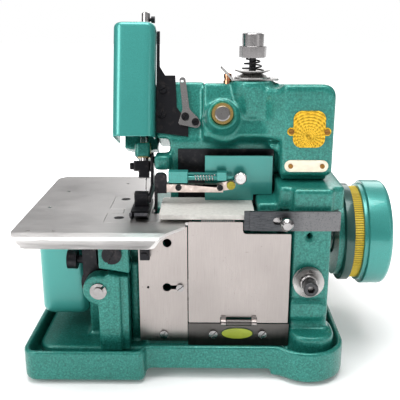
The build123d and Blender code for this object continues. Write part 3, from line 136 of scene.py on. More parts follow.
class DetailSettings(bpy.types.PropertyGroup):
    """Sizes of the small repeated details."""

    casting_grid: FloatProperty(
        name="Casting grid",
        description="Face size of the rounded casting skins",
        default=0.0014, min=0.0008, max=0.004, subtype="DISTANCE", unit="LENGTH")
    cog_pitch: FloatProperty(
        name="Belt cog pitch",
        description="Distance between two cogs of the drive belt",
        default=0.0042, min=0.002, max=0.02, subtype="DISTANCE", unit="LENGTH")
    cog_height: FloatProperty(
        name="Belt cog height",
        description="How far a cog stands out of the drive belt",
        default=0.0011, min=0.0002, max=0.003, subtype="DISTANCE", unit="LENGTH")
    tooth_pitch: FloatProperty(
        name="Strip tooth pitch",
        description="Distance between two teeth of the serrated strip",
        default=0.0016, min=0.0005, max=0.01, subtype="DISTANCE", unit="LENGTH")
    vent_count: IntProperty(
        name="Motor vents",
        description="Number of vent slots round the motor's end",
        default=16, min=4, max=60)


class StageSettings(bpy.types.PropertyGroup):
    """Floor, light and camera."""

    floor: FloatVectorProperty(
        name="Floor",
        description="Colour of the floor",
        default=(0.93, 0.93, 0.93), subtype="COLOR", size=3, min=0, max=1)
    daylight: FloatProperty(
        name="Room light",
        description="Strength of the light that comes from all round",
        default=0.48, min=0, max=5)
    key_power: FloatProperty(
        name="Key light",
        description="Power of the large light at the left front",
        default=9.0, min=0, max=1000, unit="POWER")
    lens: FloatProperty(
        name="Lens",
        description="Focal length of the camera",
        default=56.7, min=10, max=300, subtype="DISTANCE_CAMERA", unit="CAMERA")


def finishes():
    return bpy.context.scene.overlock_finish


def details():
    return bpy.context.scene.overlock_detail


def staging():
    return bpy.context.scene.overlock_stage


# ---------------------------------------------------------------- shader maths
class Value:
    """A shader socket that can be used in a sum."""

    def __init__(self, finish, socket):
        self.finish = finish
        self.socket = socket

    def math(self, operation, first, second):
        return self.finish.node("ShaderNodeMath", {"operation": operation}, {0: first, 1: second})

    def __add__(self, other):
        return self.math("ADD", self, other)

    def __radd__(self, other):
        return self.math("ADD", other, self)

    def __sub__(self, other):
        return self.math("SUBTRACT", self, other)

    def __rsub__(self, other):
        return self.math("SUBTRACT", other, self)

    def __mul__(self, other):
        return self.math("MULTIPLY", self, other)

    def __rmul__(self, other):
        return self.math("MULTIPLY", other, self)

    def __pow__(self, other):
        return self.math("POWER", self, other)

class Finish:
    """One material's node tree."""

    def __init__(self, name):
        self.material = bpy.data.materials.new(name)
        self.material.use_nodes = True
        self.tree = self.material.node_tree
        self.tree.nodes.clear()
        self.place = self.node("ShaderNodeTexCoord", {}, {}, "Object")

    def node(self, kind, settings, sockets, output=0):
        """Adds a node: its settings first, then the values or links of its sockets."""
        made = self.tree.nodes.new(kind)
        for name, value in settings.items():
            if name == "stops":
                stops = made.color_ramp.elements
                while len(stops) < len(value):
                    stops.new(1.0)
                for stop, (position, shade) in zip(stops, value):
                    stop.position = position
                    stop.color = (shade, shade, shade, 1.0)
            else:
                setattr(made, name, value)
        for name, value in sockets.items():
            if isinstance(value, Value):
                self.tree.links.new(value.socket, made.inputs[name])
            elif hasattr(value, "__len__") and len(made.inputs[name].default_value) == 4:
                made.inputs[name].default_value = (*value[:3], 1.0)
            else:
                made.inputs[name].default_value = value
        return Value(self, made.outputs[output])

    def stretched(self, scale):
        """Object coordinates scaled by an amount along each axis."""
        return self.node("ShaderNodeMapping", {}, {"Vector": self.place, "Scale": scale})

    def noise(self, scale, detail=3.0, roughness=0.55, place=None):
        return self.node("ShaderNodeTexNoise", {}, {
            "Vector": place or self.place, "Scale": scale, "Detail": detail,
            "Roughness": roughness}, "Fac")

    def cells(self, scale):
        return self.node("ShaderNodeTexVoronoi", {"feature": "F1"}, {
            "Vector": self.place, "Scale": scale}, "Distance")

    def ramp(self, value, *stops):
        return self.node("ShaderNodeValToRGB", {"stops": stops}, {"Fac": value}, "Color")

    def span(self, value, low, high, to_low=0.0, to_high=1.0):
        """Maps a value from one range to another."""
        return self.node("ShaderNodeMapRange", {}, {
            "Value": value, "From Min": low, "From Max": high, "To Min": to_low,
            "To Max": to_high})

    def mix(self, factor, first, second):
        return self.node("ShaderNodeMix", {"data_type": "RGBA"}, {
            0: factor, 6: first, 7: second}, 2)

    def height(self, axis):
        """Object coordinate along one axis."""
        return self.node("ShaderNodeSeparateXYZ", {}, {0: self.place}, axis)

    def bump(self, value, strength, depth):
        return self.node("ShaderNodeBump", {}, {
            "Height": value, "Strength": strength, "Distance": depth}, "Normal")

    def close(self, **sockets):
        """Ends the tree in a principled surface."""
        renamed = {name.replace("_", " "): value for name, value in sockets.items()}
        surface = self.node("ShaderNodeBsdfPrincipled", {}, renamed)
        output = self.tree.nodes.new("ShaderNodeOutputMaterial")
        self.tree.links.new(surface.socket, output.inputs["Surface"])
        return self.material


# ---------------------------------------------------------------- finishes
def tinted(base, share, lift=0.0):
    """A colour made darker or lighter by a share, and lifted by an amount."""
    return tuple(min(1.0, share * part + lift) for part in base)


def hammered_enamel(name, base, highlight_colour, size, metal=0.35):
    """Hammered metallic enamel: soft dimples, with painted shade in the low dimples and painted
    highlights on the raised marks.
    """
    paint = Finish(name)
    scale = 1.0 / size
    dimples = paint.noise(scale * 0.85, 4.0, 0.65)
    grains = paint.cells(scale * 0.95)
    broad = paint.noise(24.0, 2.0)
    relief = dimples * 0.75 + grains * 0.35
    # painted highlight: the raised hammer marks, where the dimple noise is high, are lit towards
    # the highlight colour
    bright = paint.span(dimples, 0.52, 0.72) * paint.span(broad, 0.35, 0.65, 0.55, 1.0)
    ground = paint.mix(paint.span(broad, 0.3, 0.7), base, tinted(base, 1.15))
    # painted shade: the low dimples are darkened; the broad tone above is the enamel's own
    shade = paint.mix(paint.span(dimples, 0.50, 0.34), ground, tinted(base, 0.70))
    shade = paint.mix(bright * 0.6, shade, highlight_colour)
    rough = paint.span(grains, 0.0, 0.8, 0.26, 0.42)
    return paint.close(
        Base_Color=shade, Roughness=rough, Metallic=metal, Coat_Weight=0.35,
        Coat_Roughness=0.12, Normal=paint.bump(relief, 0.55, 0.00035))


def smooth_enamel(name, base, metal=0.40):
    """Smooth metallic enamel with fine flake and a slight wave."""
    paint = Finish(name)
    flake = paint.noise(2600.0, 2.0, 0.7)
    wave = paint.noise(38.0, 2.0)
    shade = paint.mix(paint.span(flake, 0.35, 0.68), tinted(base, 0.82),
                      tinted(base, 1.25, 0.01))
    shade = paint.mix(paint.span(wave, 0.20, 0.85) * 0.14, shade, tinted(base, 1.3))
    rough = paint.span(wave, 0.1, 0.9, 0.30, 0.36)
    relief = wave * 0.35 + flake * 0.03
    return paint.close(
        Base_Color=shade, Roughness=rough, Metallic=metal, Coat_Weight=0.5,
        Coat_Roughness=0.07, Normal=paint.bump(relief, 0.25, 0.0006))


def brushed_steel(name, base, grain, rough_low=0.26, rough_high=0.42):
    """Brushed sheet steel, its grain stretched along one axis."""
    steel = Finish(name)
    lines = steel.noise(1.0, 5.0, 0.6, steel.stretched(grain))
    clouds = steel.noise(22.0, 3.0)
    spots = steel.noise(420.0, 2.0)
    shade = steel.mix(steel.span(lines, 0.3, 0.7), tinted(base, 0.90), tinted(base, 1.07))
    shade = steel.mix(steel.span(clouds, 0.35, 0.70) * 0.35, shade, tinted(base, 0.78))
    shade = steel.mix(steel.span(spots, 0.70, 0.78) * 0.4, shade, tinted(base, 0.45))
    rough = steel.span(lines * 0.6 + clouds * 0.4, 0.35, 0.65, rough_low, rough_high)
    return steel.close(
        Base_Color=shade, Roughness=rough, Metallic=1.0,
        Normal=steel.bump(lines, 0.35, 0.00004))


def ground_metal(name, base, rough=0.25, stain=0.5, scale=160.0, metallic=1.0):
    """Ground or plated metal with faint marks."""
    metal = Finish(name)
    marks = metal.noise(scale, 4.0, 0.6)
    fine = metal.noise(scale * 7, 2.0)
    shade = metal.mix(metal.span(marks, 0.38, 0.72) * stain, base, tinted(base, 0.62))
    return metal.close(
        Base_Color=shade, Roughness=metal.span(marks, 0.3, 0.7, rough * 0.75, rough * 1.35),
        Metallic=metallic, Normal=metal.bump(fine, 0.15, 0.00005))


def black_oxide(name, base=(0.012, 0.012, 0.015), rough=0.34):
    """Blackened steel with worn, browner patches."""
    black = Finish(name)
    wear = black.noise(210.0, 4.0, 0.65)
    fine = black.noise(1500.0, 2.0)
    shade = black.mix(black.span(wear, 0.52, 0.78), base, (0.055, 0.047, 0.046))
    return black.close(
        Base_Color=shade, Roughness=black.span(wear, 0.3, 0.75, rough + 0.10, rough - 0.06),
        Metallic=0.65, Normal=black.bump(fine, 0.2, 0.00006))


def moulded(name, base, rough=0.55, grain=1400.0):
    """Moulded rubber or plastic with a fine grain and a dusty bloom."""
    rubber = Finish(name)
    skin = rubber.noise(grain, 2.0)
    dust = rubber.noise(60.0, 4.0, 0.6)
    shade = rubber.mix(rubber.span(dust, 0.45, 0.75) * 0.5, base, tinted(base, 1.5, 0.012))
    return rubber.close(
        Base_Color=shade, Roughness=rubber.span(dust, 0.3, 0.7, rough - 0.08, rough + 0.08),
        Normal=rubber.bump(skin, 0.35, 0.00008))


def belt_finish(name, base):
    """Yellow belt with brown grime patches and a cloth grain; a darkened copy paints the shade in
    the dips between the cogs.
    """
    belt = Finish(name)
    grime = belt.noise(95.0, 4.0, 0.6)
    cloth = belt.noise(1900.0, 1.0)
    shade = belt.mix(belt.span(grime, 0.45, 0.78) * 0.55, base, (0.34, 0.20, 0.012))
    shade = belt.mix(belt.span(cloth, 0.35, 0.65) * 0.25, shade, tinted(base, 0.75))
    return belt.close(Base_Color=shade, Roughness=belt.span(grime, 0.3, 0.7, 0.42, 0.6),
                      Normal=belt.bump(cloth, 0.4, 0.0001))


def stamped_relief(name, base, centre, rays):
    """Stamped and lacquered metal with a fan of shallow rays round its middle."""
    metal = Finish(name)
    across = metal.height(0) - centre[0]
    above = metal.height(2) - centre[2]
    turn = metal.node("ShaderNodeMath", {"operation": "ARCTAN2"}, {0: above, 1: across})
    waves = metal.node("ShaderNodeMath", {"operation": "SINE"}, {0: turn * rays})
    reach = metal.node("ShaderNodeMath", {"operation": "SQRT"}, {0: across ** 2 + above ** 2})
    rings = metal.node("ShaderNodeMath", {"operation": "SINE"}, {0: reach * 2600.0})
    marks = metal.noise(420.0, 4.0, 0.6)
    relief = waves * 0.5 + rings * 0.35
    dips = metal.span(relief + marks * 0.5, 0.15, -0.75)
    shade = metal.mix(dips * 0.8, base, tinted(base, 0.42))
    shade = metal.mix(metal.span(marks, 0.55, 0.75) * 0.4, shade, tinted(base, 1.15))
    return metal.close(
        Base_Color=shade, Roughness=metal.span(marks, 0.3, 0.7, 0.30, 0.48), Metallic=0.75,
        Normal=metal.bump(relief, 0.8, 0.0004))


def latch_steel(name, dark, bright, turn_at):
    """Ground bar steel, dark left of a turn point and light to its right, with dark specks."""
    steel = Finish(name)
    lines = steel.noise(1.0, 4.0, 0.6, steel.stretched((140, 1800, 1800)))
    specks = steel.noise(900.0, 3.0, 0.7)
    side = steel.span(steel.height(0), turn_at - 0.004, turn_at + 0.010)
    shade = steel.mix(side, dark, bright)
    shade = steel.mix(steel.span(specks, 0.55, 0.70) * 0.6, shade, tinted(dark, 0.3))
    shade = steel.mix(steel.span(lines, 0.4, 0.7) * 0.3, shade, tinted(bright, 1.25))
    return steel.close(
        Base_Color=shade, Roughness=steel.span(specks, 0.3, 0.7, 0.32, 0.52), Metallic=0.9,
        Normal=steel.bump(specks + lines, 0.35, 0.00006))


MATERIALS = {}


def make_materials():
    """Every finish of the machine, by its name."""
    chosen = finishes()
    # painted highlight colour of the hammered enamel
    enamel = tuple(chosen.enamel)
    light = tuple(chosen.enamel_highlight)
    cover = tuple(chosen.cover)
    plate = tuple(chosen.plate)
    size = chosen.hammer_size
    MATERIALS.update({
        "hammered": hammered_enamel("hammered_enamel", enamel, light, size),
        "cover": smooth_enamel("cover_enamel", cover),
        "housing": smooth_enamel("housing_enamel", tinted(cover, 1.12), 0.3),
        # lit and shaded copies of one plate steel: the upright plates darker as painted shade,
        # the flat plates lighter as painted light from above
        "plate_shaded_upright": brushed_steel("plate_steel_painted_shade", plate, (2400, 900, 60)),
        "plate_lit_flat": brushed_steel("plate_steel_painted_light", (0.66, 0.64, 0.63), (70, 2400, 900),
                                    0.32, 0.50),
        "bar_steel": brushed_steel("bar_steel", (0.52, 0.50, 0.485), (80, 1500, 1500), 0.3, 0.5),
        "guide_steel": ground_metal("guide_steel", (0.60, 0.585, 0.55), 0.5, 0.3, 300.0, 0.25),
        # painted shade: dark green for the handwheel's faces left of the belt, which lie in
        # shadow
        "wheel_painted_shade": smooth_enamel("wheel_painted_shade", (0.008, 0.060, 0.050), 0.3),
        "ground": ground_metal("ground_steel", (0.36, 0.345, 0.34), 0.30),
        "bright": ground_metal("bright_steel", (0.50, 0.485, 0.48), 0.22, 0.4),
        "chrome": ground_metal("chrome_plate", (0.36, 0.345, 0.345), 0.20, 0.5, 90.0),
        "alloy": ground_metal("tension_alloy", (0.46, 0.45, 0.44), 0.30, 0.4),
        "black": black_oxide("black_oxide"),
        "dark_iron": black_oxide("dark_iron", (0.02, 0.02, 0.022), 0.5),
        "brass": ground_metal("turned_brass", (0.78, 0.55, 0.20), 0.22, 0.5, 220.0),
        "copper": ground_metal("copper_cap", (0.62, 0.28, 0.16), 0.22, 0.6, 320.0),
        "gold": ground_metal("stamped_gold", (0.80, 0.50, 0.06), 0.30, 0.35, 260.0),
        "cream": ground_metal("name_plate_metal", (0.80, 0.72, 0.58), 0.34, 0.2, 240.0),
        "plaque": stamped_relief("stamped_plaque", (0.78, 0.47, 0.035), (0.101, 0, 0.1985), 22.0),
        "bronze": ground_metal("bronze_screws", (0.30, 0.15, 0.04), 0.4, 0.6, 500.0),
        "gun_metal": ground_metal("gun_metal", (0.07, 0.07, 0.073), 0.32, 0.5, 300.0),
        "pink_steel": ground_metal("knife_bar_steel", (0.66, 0.55, 0.50), 0.34, 0.35, 260.0),
        "olive": ground_metal("olive_brass", (0.34, 0.30, 0.05), 0.35, 0.7, 700.0),
        # painted shade: the low hinge plate is a much darker copy of the plate steel
        "plate_low": brushed_steel("hinge_plate_painted_shade", (0.135, 0.125, 0.12), (900, 900, 60), 0.3, 0.5),
        "latch": latch_steel("latch_steel", (0.055, 0.058, 0.064), (0.17, 0.17, 0.175), 0.086),
        "belt": belt_finish("belt_yellow", tuple(chosen.belt)),
        # painted shade: the belt's body, seen between the yellow cogs, is a darkened copy of the
        # belt colour
        "belt_painted_shade": belt_finish("belt_shaded", tinted(chosen.belt, 0.32)),
        "rubber": moulded("foot_rubber", (0.012, 0.012, 0.012)),
        "motor": hammered_enamel("motor_enamel", (0.012, 0.013, 0.015), (0.05, 0.05, 0.055),
                                 size, 0.2),
        "label": moulded("label_green", (0.42, 0.50, 0.05), 0.35, 900.0),
        "label_edge": moulded("label_edge", (0.02, 0.05, 0.02), 0.4, 900.0),
        # painted shade: near-black slots stand for the dark inside of the motor's vents
        "vent_painted_shade": moulded("vent_shade", (0.004, 0.004, 0.004), 0.8),
    })


NODE_FINISH = {
    "hammered": ("base_tray", "main_frame", "front_bracket", "upper_arm", "head_casing",
                 "table_bracket", "wheel_seal"),
    "cover": ("head_cover", "handwheel", "guard_plate", "spring_rod"),
    "housing": ("left_housing",),
    "plate_shaded_upright": ("left_front_plate", "looper_cover"),
    # the hinge plate gets the darker painted-shade copy of the plate steel
    "plate_low": ("hinge_plate",),
    "plate_lit_flat": ("cloth_table", "needle_plate"),
    "guide_steel": ("guide_bar",),
    "bar_steel": ("knife_arm",),
    "latch": ("latch_bar",),
    "ground": ("looper_shaft", "main_shaft", "rocker_shaft", "motor_rotor", "feed_dog",
               "side_post", "lower_knife", "connecting_rod"),
    "bright": ("needle_bar", "thread_guide", "thumb_screw", "needle", "knife_spring",
               "side_spring"),
    "chrome": ("top_nut", "latch_knob", "lower_looper", "upper_looper"),
    "gun_metal": ("side_nut",),
    "alloy": ("tension_bracket", "top_discs", "side_discs"),
    # painted shade: inner_guard is a black plate standing for the dark shadow in the throat under
    # the arm
    "black": ("head_side_plate", "inner_guard", "presser_arm", "presser_foot", "needle_clamp",
              "looper_rocker", "top_post", "top_spring", "frame_screws"),
    "dark_iron": ("needle_lever",),
    "brass": ("rocker_bush", "bar_bushes", "shaft_bush"),
    "gold": ("name_plates",),
    # the belt's body carries the painted shade between the cogs
    "belt_painted_shade": ("drive_belt",),
    "rubber": ("rubber_feet",),
    "motor": ("motor", "motor_bracket"),
}


# ---------------------------------------------------------------- mesh helpers
def new_piece(name, mesh, material):
    """Links a mesh as a piece of its own with one finish."""
    mesh.name = name
    piece = bpy.data.objects.new(name, mesh)
    bpy.context.scene.collection.objects.link(piece)
    piece.data.materials.clear()
    piece.data.materials.append(material)
    return piece


def settled(piece):
    """Applies a piece's modifiers to its mesh."""
    graph = bpy.context.evaluated_depsgraph_get()
    graph.update()
    mesh = bpy.data.meshes.new_from_object(piece.evaluated_get(graph))
    old = piece.data
    piece.modifiers.clear()
    piece.data = mesh
    bpy.data.meshes.remove(old)
    mesh.name = piece.name
    return piece


def merged_copy(node):
    """A CAD node's mesh with its loose triangles joined."""
    shape = bmesh.new()
    shape.from_mesh(NODES[node].data)
    bmesh.ops.remove_doubles(shape, verts=shape.verts, dist=1e-6)
    mesh = bpy.data.meshes.new(node + "_copy")
    shape.to_mesh(mesh)
    shape.free()
    if "custom_normal" in mesh.attributes:
        mesh.attributes.remove(mesh.attributes["custom_normal"])
    return mesh


def stepped(value, low, high):
    """Rises smoothly from 0 to 1 between two values."""
    share = min(1.0, max(0.0, (value - low) / (high - low)))
    return share * share * (3 - 2 * share)


def stand_in(piece, node, finish):
    """Ends a piece that stands for a CAD node."""
    settled(piece)
    piece.data.materials.clear()
    piece.data.materials.append(MATERIALS[finish])
    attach(piece, BODY_OF[node])
    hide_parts(node)
    return piece


def added(piece, body):
    """Ends a piece that no CAD node has."""
    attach(piece, body)
    return piece


def cast_skin(node, name, finish, grid, rounds):
    """A casting's skin with its edges and inner corners rounded as cast metal has them."""
    skin = new_piece(name, merged_copy(node), MATERIALS[finish])
    remesh = skin.modifiers.new("even grid", "REMESH")
    remesh.mode = "VOXEL"
    remesh.voxel_size = grid
    remesh.use_smooth_shade = True
    soft = skin.modifiers.new("cast edges", "SMOOTH")
    soft.factor = 0.5
    soft.iterations = rounds
    return stand_in(skin, node, finish)


def eased(node, name, finish, width, angle=35.0):
    """A plate or bar with its edges broken."""
    shape = bmesh.new()
    shape.from_mesh(merged_copy(node))
    bmesh.ops.dissolve_limit(shape, angle_limit=math.radians(0.6), verts=shape.verts,
                             edges=shape.edges)
    mesh = bpy.data.meshes.new(name)
    shape.to_mesh(mesh)
    shape.free()
    piece = new_piece(name, mesh, MATERIALS[finish])
    for face in piece.data.polygons:
        face.use_smooth = True
    bevel = piece.modifiers.new("broken edges", "BEVEL")
    bevel.width = width
    bevel.segments = 2
    bevel.limit_method = "ANGLE"
    bevel.angle_limit = math.radians(angle)
    bevel.use_clamp_overlap = True
    bevel.harden_normals = True
    return stand_in(piece, node, finish)


def picked(piece, finish, test):
    """Gives another finish to the faces whose middle passes a test."""
    piece.data.materials.append(MATERIALS[finish])
    index = len(piece.data.materials) - 1
    for face in piece.data.polygons:
        if test(face.center):
            face.material_index = index


def parted(piece, point, way):
    """Cuts a mesh's faces along a plane, so that each side can have its own finish."""
    shape = bmesh.new()
    shape.from_mesh(piece.data)
    bmesh.ops.bisect_plane(shape, geom=shape.verts[:] + shape.edges[:] + shape.faces[:],
                           plane_co=point, plane_no=way)
    shape.to_mesh(piece.data)
    shape.free()


def recalculated(shape):
    """Turns a closed shape's faces outwards."""
    bmesh.ops.recalc_face_normals(shape, faces=shape.faces)
    return shape


def turned(name, axis_start, axis_way, rings, finish, body, steps):
    """A turned piece: rings are (distance along the axis, radius)."""
    shape = bmesh.new()
    way = Vector(axis_way).normalized()
    side = way.orthogonal().normalized()
    other = way.cross(side)
    start = Vector(axis_start)
    loops = []
    for along, radius in rings:
        if radius == 0:
            loops.append([shape.verts.new(start + way * along)])
            continue
        loop = []
        for step in range(steps):
            angle = 2 * math.pi * step / steps
            spoke = side * math.cos(angle) + other * math.sin(angle)
            loop.append(shape.verts.new(start + way * along + spoke * radius))
        loops.append(loop)
    for low, high in zip(loops, loops[1:]):
        for step in range(steps):
            follow = (step + 1) % steps
            corners = [low[step % len(low)], low[follow % len(low)], high[follow % len(high)],
                       high[step % len(high)]]
            unique = [c for i, c in enumerate(corners) if c not in corners[:i]]
            if len(unique) > 2:
                shape.faces.new(unique)
    mesh = bpy.data.meshes.new(name)
    recalculated(shape).to_mesh(mesh)
    shape.free()
    piece = new_piece(name, mesh, MATERIALS[finish])
    smooth_by_angle(piece, 32)
    return added(piece, body)


def smooth_by_angle(piece, degrees):
    """Smooth shading with sharp edges past an angle."""
    for face in piece.data.polygons:
        face.use_smooth = True
    piece.data.set_sharp_from_angle(angle=math.radians(degrees))


def oval(name, centre, half_x, half_z, thick, finish, body):
    """A thin oval plate that faces the front, its rim bevelled; centre is on its back."""
    shape = bmesh.new()
    rings = []
    for back, inset in ((0.0, 1.0), (0.75, 1.0), (1.0, 0.985)):
        ring = []
        for step in range(CIRCLE_STEPS):
            angle = 2 * math.pi * step / CIRCLE_STEPS
            ring.append(shape.verts.new((
                centre[0] + half_x * inset * math.cos(angle),
                centre[1] - thick * back,
                centre[2] + half_z * inset * math.sin(angle))))
        rings.append(ring)
    for low, high in zip(rings, rings[1:]):
        for step in range(CIRCLE_STEPS):
            follow = (step + 1) % CIRCLE_STEPS
            shape.faces.new((low[step], low[follow], high[follow], high[step]))
    shape.faces.new(rings[0])
    shape.faces.new(rings[-1])
    mesh = bpy.data.meshes.new(name)
    recalculated(shape).to_mesh(mesh)
    shape.free()
    piece = new_piece(name, mesh, MATERIALS[finish])
    return added(piece, body)


def path_piece(name, points, closed):
    """Linked points, as the start of a geometry node piece."""
    mesh = bpy.data.meshes.new(name)
    edges = [(step, step + 1) for step in range(len(points) - 1)]
    if closed:
        edges.append((len(points) - 1, 0))
    mesh.from_pydata(points, edges, [])
    piece = bpy.data.objects.new(name, mesh)
    bpy.context.scene.collection.objects.link(piece)
    return piece


class Tree:
    """A geometry node tree with named inputs."""

    def __init__(self, name, inputs):
        self.group = bpy.data.node_groups.new(name, "GeometryNodeTree")
        sockets = self.group.interface
        sockets.new_socket("Path", in_out="INPUT", socket_type="NodeSocketGeometry")
        self.keys = {}
        for label, kind in inputs:
            made = sockets.new_socket(label, in_out="INPUT", socket_type=kind)
            self.keys[label] = made.identifier
        sockets.new_socket("Geometry", in_out="OUTPUT", socket_type="NodeSocketGeometry")
        self.inputs = self.group.nodes.new("NodeGroupInput").outputs

    def node(self, kind, settings, sockets, output=0):
        """Adds a node: its settings first, then the values or links of its sockets."""
        made = self.group.nodes.new(kind)
        for name, value in settings.items():
            setattr(made, name, value)
        for name, value in sockets.items():
            if isinstance(value, bpy.types.NodeSocket):
                self.group.links.new(value, made.inputs[name])
            else:
                made.inputs[name].default_value = value
        return made.outputs if output is None else made.outputs[output]

    def end(self, geometry):
        self.node("NodeGroupOutput", {}, {"Geometry": geometry}, None)


def repeat_tree(name, round_ribs):
    """Repeats a rib or a slot along a path, each one square to the path."""
    tree = Tree(name, (
        ("Pitch", "NodeSocketFloat"), ("Width", "NodeSocketFloat"), ("Length", "NodeSocketFloat"),
        ("Depth", "NodeSocketFloat"), ("Finish", "NodeSocketMaterial")))
    given = tree.inputs
    line = tree.node("GeometryNodeMeshToCurve", {}, {"Mesh": given["Path"]})
    spots = tree.node("GeometryNodeCurveToPoints", {"mode": "LENGTH"}, {
        "Curve": line, "Length": given["Pitch"]}, None)
    aim = tree.node("FunctionNodeAlignRotationToVector", {"axis": "Y", "pivot_axis": "X"},
                    {"Vector": spots["Tangent"]})
    if round_ribs:
        bar = tree.node("GeometryNodeMeshCylinder", {}, {
            "Vertices": 8, "Radius": given["Width"], "Depth": given["Length"]})
        form = tree.node("GeometryNodeTransform", {}, {
            "Geometry": bar, "Rotation": (0, math.radians(90), 0)})
    else:
        extent = tree.node("ShaderNodeCombineXYZ", {}, {
            "X": given["Depth"], "Y": given["Width"], "Z": given["Length"]})
        form = tree.node("GeometryNodeMeshCube", {}, {"Size": extent})
    placed = tree.node("GeometryNodeInstanceOnPoints", {}, {
        "Points": spots["Points"], "Instance": form, "Rotation": aim})
    real = tree.node("GeometryNodeRealizeInstances", {}, {"Geometry": placed})
    tree.end(tree.node("GeometryNodeSetMaterial", {}, {
        "Geometry": real, "Material": given["Finish"]}))
    return tree


def repeated(name, points, closed, round_ribs, pitch, width, length, depth, finish, body):
    """Ribs or slots along a path, turned into a plain mesh."""
    tree = repeat_tree(name + "_nodes", round_ribs)
    piece = path_piece(name, points, closed)
    modifier = piece.modifiers.new("repeat", "NODES")
    modifier.node_group = tree.group
    for label, value in (("Pitch", pitch), ("Width", width), ("Length", length),
                         ("Depth", depth), ("Finish", MATERIALS[finish])):
        modifier[tree.keys[label]] = value
    settled(piece)
    if not piece.data.polygons:
        raise RuntimeError(name + " came out empty")
    piece.data.materials.clear()
    piece.data.materials.append(MATERIALS[finish])
    smooth_by_angle(piece, 40)
    return added(piece, body)


def belt_path(lift):
    """Points along the outer face of the belt, round both pulleys, in its middle plane."""
    low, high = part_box("drive_belt")
    wheel, motor = AXIS_AT["main_spin"], AXIS_AT["motor_spin"]
    wheel_radius = high[2] - wheel.z + lift
    motor_radius = motor.z - low[2] + lift
    run = Vector((motor.y - wheel.y, motor.z - wheel.z))
    heading = math.atan2(run.y, run.x)
    lap = math.acos((wheel_radius - motor_radius) / run.length)
    middle = (low[0] + high[0]) / 2
    points = []
    for centre, radius, start, sweep in (
        (wheel, wheel_radius, heading + lap, 2 * math.pi - 2 * lap),
        (motor, motor_radius, heading - lap, 2 * lap),
    ):
        for step in range(41):
            angle = start + sweep * step / 40
            points.append((middle, centre.y + radius * math.cos(angle),
                           centre.z + radius * math.sin(angle)))
    return points


# ---------------------------------------------------------------- operators
class OVERLOCK_OT_finishes(bpy.types.Operator):
    """Makes the finishes and gives each CAD node its own"""

    bl_idname = "overlock.finishes"
    bl_label = "Finishes"

    def execute(self, context):
        make_materials()
        for finish, nodes in NODE_FINISH.items():
            for node in nodes:
                mesh = NODES[node].data
                mesh.materials.clear()
                mesh.materials.append(MATERIALS[finish])
        return {"FINISHED"}


class OVERLOCK_OT_castings(bpy.types.Operator):
    """Gives the castings their rounded skins"""

    bl_idname = "overlock.castings"
    bl_label = "Castings"

    def execute(self, context):
        grid = details().casting_grid
        arm = cast_skin("upper_arm", "arm_casting", "hammered", grid, 20)
        low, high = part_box("upper_arm")
        front, top = low[1] + ARM_LIP, high[2]
        for vertex in arm.data.vertices:
            spot = vertex.co
            share = stepped(spot.x, *ARM_SHOULDER) * stepped(
                spot.z, top - ARM_BROW[0], top - ARM_BROW[1])
            spot.z -= share * ARM_FALL * max(0.0, spot.y - front)
        cast_skin("head_cover", "cover_skin", "cover", grid * 0.5, 14)
        for node, name, share, rounds in (
            ("main_frame", "frame_casting", 1.35, 3),
            ("base_tray", "tray_casting", 1.2, 3),
            ("front_bracket", "bracket_casting", 0.7, 3),
            ("head_casing", "head_casting", 0.7, 3),
            ("table_bracket", "lug_casting", 0.7, 2),
        ):
            cast_skin(node, name, "hammered", grid * share, rounds)
        return {"FINISHED"}


class OVERLOCK_OT_plates(bpy.types.Operator):
    """Breaks the edges of the steel plates, covers and bars"""

    bl_idname = "overlock.plates"
    bl_label = "Plates and covers"

    def execute(self, context):
        for node, finish, width in (
            ("cloth_table", "plate_lit_flat", 0.0004),
            ("needle_plate", "plate_lit_flat", 0.00015),
            ("guide_bar", "guide_steel", 0.0010),
            ("looper_cover", "plate_shaded_upright", 0.0003),
            ("left_front_plate", "plate_shaded_upright", 0.0003),
            ("hinge_plate", "plate_low", 0.0003),
            ("latch_bar", "latch", 0.0004),
            ("spring_rod", "cover", 0.0006),
            ("presser_arm", "black", 0.0008),
            ("presser_foot", "black", 0.0004),
            ("left_housing", "housing", 0.0006),
            ("head_side_plate", "black", 0.0002),
            ("looper_rocker", "black", 0.0006),
        ):
            eased(node, node + "_finished", finish, width)
        return {"FINISHED"}


